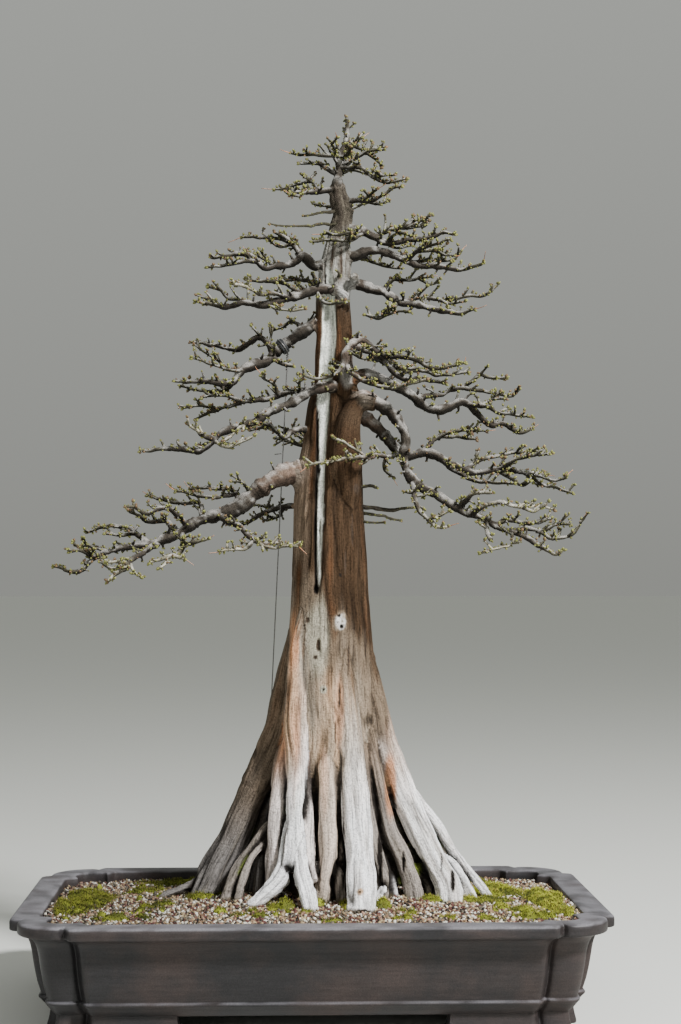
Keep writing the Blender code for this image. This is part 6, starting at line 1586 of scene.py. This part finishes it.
def makeGrit():
    # a jittered grid of chipped blocks, each with its own size, turn and tone
    pitch = gritForm["pitch"]
    gx, gy = np.meshgrid(*(np.arange(-side, side, pitch) for side in gritForm["reach"]))
    x = gx.ravel() + draw.uniform(-0.5, 0.5, gx.size) * pitch
    y = gy.ravel() + draw.uniform(-0.5, 0.5, gx.size) * pitch
    keep = insidePot(x, y, gritForm["inset"])
    x, y = x[keep], y[keep]
    count = len(x)
    corners = np.array([(a, b, c) for c in (-1, 1) for b in (-1, 1) for a in (-1, 1)], float)
    shapes = corners * draw.uniform(0.45, 1.05, (count, 8, 3))
    size = draw.uniform(*gritForm["half"], (count, 1, 1)) * draw.uniform(0.7, 1.2, (count, 1, 3))
    turn = unit(draw.normal(0, 1, (count, 4)))
    w, i, j, k = (turn[:, c, None] for c in range(4))
    axis = np.concatenate([i, j, k], axis=1)[:, None]
    local = shapes * size
    spin = np.cross(axis, local)
    local = local + 2 * w[..., None] * spin + 2 * np.cross(axis, spin)
    centre = np.column_stack([x, y, soilHeight(x, y) + draw.uniform(-gritForm["sink"], 0.0008, count)])
    points = (centre[:, None] + local).reshape(-1, 3)
    faces = np.array([(0, 2, 3, 1), (4, 5, 7, 6), (0, 1, 5, 4), (2, 6, 7, 3), (0, 4, 6, 2), (1, 3, 7, 5)])
    quads = faces + (np.arange(count) * 8)[:, None, None]
    kind = draw.choice(len(gritTones), count, p=gritShares)
    shade = 0.80 - 0.22 * ramp(-0.06, -0.20, x)
    tone = np.repeat(gritTones[kind] * draw.uniform(0.75, 1.15, (count, 1)) * shade[:, None], 8, axis=0)
    mesh = meshFrom("topGrit", points, quads, [], tone, smooth=False)
    print("grit:", count, "grains")
    return addPiece("topGrit", mesh, [gritStone])


# Moss cushions, as (piece name, node it stands for, centre, half sizes, height)
mossCushions = [
    ("mossRight", "moss_right", (0.284, -0.035), (0.0225, 0.108), 0.0070),
    ("mossLeft", "moss_left", (-0.274, -0.005), (0.034, 0.135), 0.0060),
    ("mossBackRight", "moss_back_right", (0.187, 0.157), (0.066, 0.024), 0.0065),
    ("mossBackLeft", "moss_back_left", (-0.150, 0.164), (0.090, 0.022), 0.0055),
    ("mossFront", "moss_front", (0.104, -0.168), (0.014, 0.010), 0.0070),
]
# Small tufts among the roots and along the walls, as (centre, half sizes, height)
mossTufts = [
    ((-0.034, -0.104), (0.018, 0.014), 0.008), ((0.008, -0.092), (0.012, 0.012), 0.007),
    ((0.040, -0.106), (0.010, 0.020), 0.007), ((0.082, -0.095), (0.014, 0.016), 0.007),
    ((0.150, -0.060), (0.020, 0.012), 0.006), ((0.210, -0.050), (0.040, 0.020), 0.006),
    ((0.235, 0.020), (0.040, 0.050), 0.007), ((-0.135, -0.020), (0.026, 0.020), 0.006),
    ((-0.180, -0.060), (0.018, 0.012), 0.006), ((-0.210, 0.060), (0.030, 0.022), 0.006),
    ((-0.232, -0.160), (0.022, 0.010), 0.006), ((-0.060, -0.150), (0.012, 0.008), 0.005),
    ((0.020, -0.180), (0.016, 0.008), 0.005), ((0.205, -0.170), (0.020, 0.008), 0.005),
    ((-0.110, -0.120), (0.010, 0.010), 0.005), ((0.250, -0.120), (0.020, 0.020), 0.006),
    ((0.080, 0.120), (0.030, 0.018), 0.006), ((-0.080, 0.110), (0.024, 0.016), 0.006),
    ((0.024, 0.130), (0.020, 0.014), 0.006), ((0.150, 0.060), (0.022, 0.016), 0.006),
    ((0.262, -0.160), (0.028, 0.020), 0.008), ((0.302, -0.020), (0.013, 0.050), 0.007),
    ((0.299, -0.118), (0.015, 0.038), 0.008), ((-0.300, -0.070), (0.013, 0.055), 0.006),
    ((-0.296, 0.060), (0.015, 0.040), 0.006),
]
mossForm = {"pitch": 0.0019, "leaf": (0.0030, 0.0058), "width": 0.00062}
mossTones = {"bright": (0.36, 0.40, 0.035), "olive": (0.040, 0.048, 0.008), "dry": (0.20, 0.13, 0.045)}
# Scraps of moss scattered over these places, as (centre, half sizes, how many)
mossScraps = [
    ((-0.235, -0.04), (0.07, 0.13), 34),
    ((0.245, -0.05), (0.06, 0.11), 24),
    ((-0.05, -0.125), (0.06, 0.03), 7),
    ((0.10, -0.14), (0.06, 0.03), 6),
    ((-0.18, 0.13), (0.10, 0.03), 10),
    ((0.17, 0.10), (0.10, 0.05), 12),
]


def mossLumps(x, y):
    return cellNoise(np.column_stack([x / 0.0085, y / 0.0085, x * 0]), 51)


def cushionHeight(x, y, centre, half, height):
    # a dome with a ragged edge and a lumpy top, over the soil
    dx, dy = (x - centre[0]) / half[0], (y - centre[1]) / half[1]
    away = np.hypot(dx, dy) / raggedEdge(np.arctan2(dy, dx), centre)
    lumps = 1 + 0.50 * mossLumps(x, y)
    return soilHeight(x, y) - 0.002 + (height + 0.002) * np.clip(1 - away ** 3, -0.5, 1) * lumps, away


def raggedEdge(turns, centre):
    # a circle of radius 1 with three and seven waves, shifted by the place of the cushion
    return 1 + 0.13 * np.sin(3 * turns + centre[0] * 40) + 0.09 * np.sin(7 * turns + centre[1] * 50)


def mossShapes(bundle, centre, half, height, sides=36):
    # a domed grid for the cushion's body, set with three-sided leaves
    turns = np.linspace(0, 2 * np.pi, sides, endpoint=False)
    ragged, rings = raggedEdge(turns, centre), []
    for share in (1.0, 0.93, 0.8, 0.6, 0.4, 0.2, 0.06):
        x = centre[0] + half[0] * share * ragged * np.cos(turns)
        y = centre[1] + half[1] * share * ragged * np.sin(turns)
        rings.append(np.column_stack([x, y, cushionHeight(x, y, centre, half, height)[0] - 0.001]))
    points, quads, tris = ringLoft(rings)
    tone = blend(mossTones["olive"], mossTones["bright"], 0.5 + layeredNoise(points / 0.02, 2, 61))
    addShape(bundle, points, quads, tris, tone * 0.6)
    gx, gy = np.meshgrid(*(np.arange(-side, side, mossForm["pitch"]) * 1.2 for side in half))
    x = centre[0] + gx.ravel() + draw.uniform(-0.6, 0.6, gx.size) * mossForm["pitch"]
    y = centre[1] + gy.ravel() + draw.uniform(-0.6, 0.6, gx.size) * mossForm["pitch"]
    top, away = cushionHeight(x, y, centre, half, height)
    keep = (away < 1.02 - 0.22 * draw.random(len(x))) & insidePot(x, y, 0.0362)
    if keep.any():
        addLeaves(bundle, x[keep], y[keep], top[keep])


def addLeaves(bundle, x, y, top):
    # a leaf on every spot, leaning a little, darkened at its foot as painted shade and bright at its tip;
    # painted shade darkens the leaves to the left and painted light brightens them to the right
    count = len(x)
    root = np.column_stack([x, y, top - 0.0014])
    lean = np.column_stack([draw.normal(0, 0.42, count), draw.normal(0, 0.42, count), np.ones(count)])
    tip = root + unit(lean) * draw.uniform(*mossForm["leaf"], (count, 1))
    turns = draw.uniform(0, 2 * np.pi, (count, 1)) + np.array([0, 2.094, 4.189])
    foot = root[:, None] + np.stack([np.cos(turns), np.sin(turns), 0 * turns], axis=-1) * mossForm["width"]
    points = np.concatenate([foot, tip[:, None]], axis=1).reshape(-1, 3)
    tris = np.array([(0, 1, 3), (1, 2, 3), (2, 0, 3), (2, 1, 0)]) + (np.arange(count) * 4)[:, None, None]
    patch = layeredNoise(root / 0.022, 2, 61)
    bright = 0.45 + 0.5 * mossLumps(x, y) + 0.6 * patch + draw.normal(0, 0.2, count)
    tone = blend(mossTones["olive"], mossTones["bright"], bright)
    tone = blend(tone, mossTones["dry"], ramp(0.45, 0.95, draw.random(count) + 0.35 * patch) * 0.6)
    # painted shade towards the left, painted light towards the right
    tone = tone * (0.50 + 0.78 * ramp(-0.20, 0.25, x))[:, None]
    # the dark foot is painted shade down among the leaves
    tone = np.repeat(tone[:, None], 4, axis=1) * np.array([0.45, 0.45, 0.45, 1.25])[:, None]
    addShape(bundle, points, [], tris, tone.reshape(-1, 3))


def makeMoss():
    for name, node, centre, half, height in mossCushions:
        bundle = newBundle()
        mossShapes(bundle, centre, half, height)
        addPiece(name, bundleMesh(bundle, name, tone=True), [mossLeaf], [node])
    bundle = newBundle()
    for tuft in mossTufts:
        mossShapes(bundle, *tuft)
    for centre, half, count in mossScraps:
        for _ in range(count):
            place = (centre[0] + draw.uniform(-1, 1) * half[0], centre[1] + draw.uniform(-1, 1) * half[1])
            size = draw.uniform(0.0035, 0.0095)
            if insidePot(np.array([place[0]]), np.array([place[1]]), 0.040 + size)[0]:
                sizes = (size * draw.uniform(0.8, 1.5), size)
                mossShapes(bundle, place, sizes, draw.uniform(0.0035, 0.0055), 14)
    mesh = bundleMesh(bundle, "mossTufts", tone=True)
    addPiece("mossTufts", mesh, [mossLeaf])
    print("moss made:", len(mesh.polygons), "faces on the tufts")


# The guy wire and the sleeve that spares the limb

wireForm = {"radius": 0.00070, "foot": (-78, -7, 48), "padWidth": 0.0078,
            "padEnds": [(-50, 552, 10), (-66, 540, 8)], "padRadius": 0.0080, "padWall": 0.0021,
            "coilLength": 0.022, "coilPitch": 0.0030, "coilRadius": 0.0013,
            "tail": [(0.0, 0, 0), (-0.003, 0, 0.0006), (-0.006, 0, 0.0002), (-0.0105, 0, -0.0004)]}


def squared(values):
    # a wave with flat tops, for the rounded square section of the sleeve
    return np.sign(values) * np.abs(values) ** 0.45


def makeWire():
    # a ring round the sleeve, the long taut run down to the soil, and a short cut tail
    form, bundle = wireForm, newBundle()
    ends = fromSketch(form["padEnds"])
    centre, head = ends.mean(axis=0), unit(ends[1] - ends[0])
    across = unit(np.cross(head, (0, 0, 1.0)))
    upward = np.cross(across, head)

    def circle(count, endpoint):
        turns = np.linspace(0, 2 * np.pi, count, endpoint=endpoint)[:, None]
        return np.cos(turns) * across + np.sin(turns) * upward

    def addWire(route, share, sides):
        addTube(bundle, route, np.full(len(route), form["radius"] * share), sides)

    ringRadius = form["padRadius"] + form["padWall"] + form["radius"]
    addWire(centre + ringRadius * circle(49, True), 1, 8)
    foot = fromSketch([form["foot"]])[0]
    out = unit(foot - centre - head * (foot - centre).dot(head))
    top = centre + out * ringRadius
    addWire(top + (foot - top) * np.linspace(0, 1, 90)[:, None], 1, 8)
    # the first stretch is wound back round itself
    length = np.linspace(0, form["coilLength"], 90)[:, None]
    wind, way = length / form["coilPitch"] * 2 * np.pi, unit(foot - top)
    turned = across * np.cos(wind) + np.cross(way, across) * np.sin(wind)
    addWire(top + way * length + turned * form["coilRadius"], 0.8, 6)
    tail = top + (foot - top) * 0.182 + np.array(form["tail"])
    addWire(smoothRoute(tail, [1, 1], 0.001)[0], 0.9, 6)
    steel = plainMaterial("weatheredSteel", (0.16, 0.155, 0.15), 0.45, 0.8, 500.0, 0.3)
    addPiece("guyWire", bundleMesh(bundle, "guyWire"), [steel], ["guy_wire"])
    # the rubber sleeve: a closed band with a rounded square section
    section = np.linspace(0, 2 * np.pi, 20, endpoint=False)
    radius = form["padRadius"] + form["padWall"] / 2 * (1 + squared(np.cos(section)))
    shift = squared(np.sin(section)) * form["padWidth"] / 2
    points = centre + circle(64, False)[:, None] * radius[:, None] + head * shift[:, None]
    i, j = np.meshgrid(np.arange(64) * 20, np.arange(20), indexing="ij")
    ni, nj = (i + 20) % 1280, (j + 1) % 20
    quads = np.stack([i + j, i + nj, ni + nj, ni + j], axis=-1).reshape(-1, 4)
    rubber = plainMaterial("blackRubber", (0.020, 0.021, 0.022), 0.5, 0.0, 300.0, 0.3)
    mesh = meshFrom("guyPad", points.reshape(-1, 3), quads, [])
    addPiece("guyPad", mesh, [rubber], ["guy_pad"])


soilMaterial = plainMaterial("packedSoil", (0.150, 0.105, 0.072), 0.95, 0.0, 240.0, 0.5)
makePot()
makeSoil()
makeGrit()
makeMoss()
makeWire()
screenMaterial = plainMaterial("screenPlastic", (0.025, 0.025, 0.027), 0.5, 0.0, 400.0, 0.2)
for node in ("drain_screen_left", "drain_screen_right"):
    frame["nodes"][node].data.materials.clear()
    frame["nodes"][node].data.materials.append(screenMaterial)
print("pot, soil, moss and wire made")


# The stage: pale floor, soft studio light and the camera

stageLook = {"floorTone": (0.72, 0.73, 0.69),
             "sky": [(0.0, (0.285, 0.29, 0.27)), (0.30, (0.40, 0.41, 0.385))],
             "floorCorners": [(-40, -8, -0.0002), (40, -8, -0.0002), (40, 45, -0.0002), (-40, 45, -0.0002)],
             "key": 345.0, "keySize": 0.55, "keyPlace": (1.9, -2.3, 2.9), "fill": 12.0, "fillSize": 2.0,
             "fillPlace": (-2.6, -2.2, 1.2)}
camera = {"place": sketch["eye"], "lens": 1975 / 1024 * 36, "turn": (91.8, 0.0, -2.03)}


def addLight(name, power, size, place, target):
    data = bpy.data.lights.new(name, "AREA")
    data.energy = power
    data.shape = "DISK"
    data.size = size
    light = linked(name, data)
    light.location = place
    light.rotation_euler = (Vector(target) - Vector(place)).to_track_quat("-Z", "Y").to_euler()


def makeStage():
    floorMesh = meshFrom("floor", stageLook["floorCorners"], [(0, 1, 2, 3)], [])
    floor = linked("floor", floorMesh)
    material, _, shader = newMaterial("floorPaper", 0.85)
    shader.inputs["Base Color"].default_value = (*stageLook["floorTone"], 1.0)
    floorMesh.materials.append(material)
    world = bpy.data.worlds.new("studio")
    world.use_nodes = True
    tree = world.node_tree
    way = tree.nodes.new("ShaderNodeTexCoord").outputs["Generated"]
    height = addNode(tree, "ShaderNodeSeparateXYZ", {"Vector": way}).outputs["Z"]
    light = rampNode(tree, height, stageLook["sky"])
    tree.links.new(light, tree.nodes["Background"].inputs["Color"])
    tree.nodes["Background"].inputs["Strength"].default_value = 1.0
    bpy.context.scene.world = world
    middle = (sketch["trunkX"], 0.0, 0.5)
    addLight("key", stageLook["key"], stageLook["keySize"], stageLook["keyPlace"], middle)
    addLight("fill", stageLook["fill"], stageLook["fillSize"], stageLook["fillPlace"], middle)
    data = bpy.data.cameras.new("photoCamera")
    data.sensor_fit = "VERTICAL"
    data.sensor_width = data.sensor_height = 36.0
    data.lens = camera["lens"]
    data.clip_end = 100.0
    view = linked("photoCamera", data)
    view.location = camera["place"]
    turnX, _, turnZ = camera["turn"]
    view.rotation_euler = (math.radians(turnX), 0.0, math.radians(turnZ))
    bpy.context.scene.camera = view


makeStage()
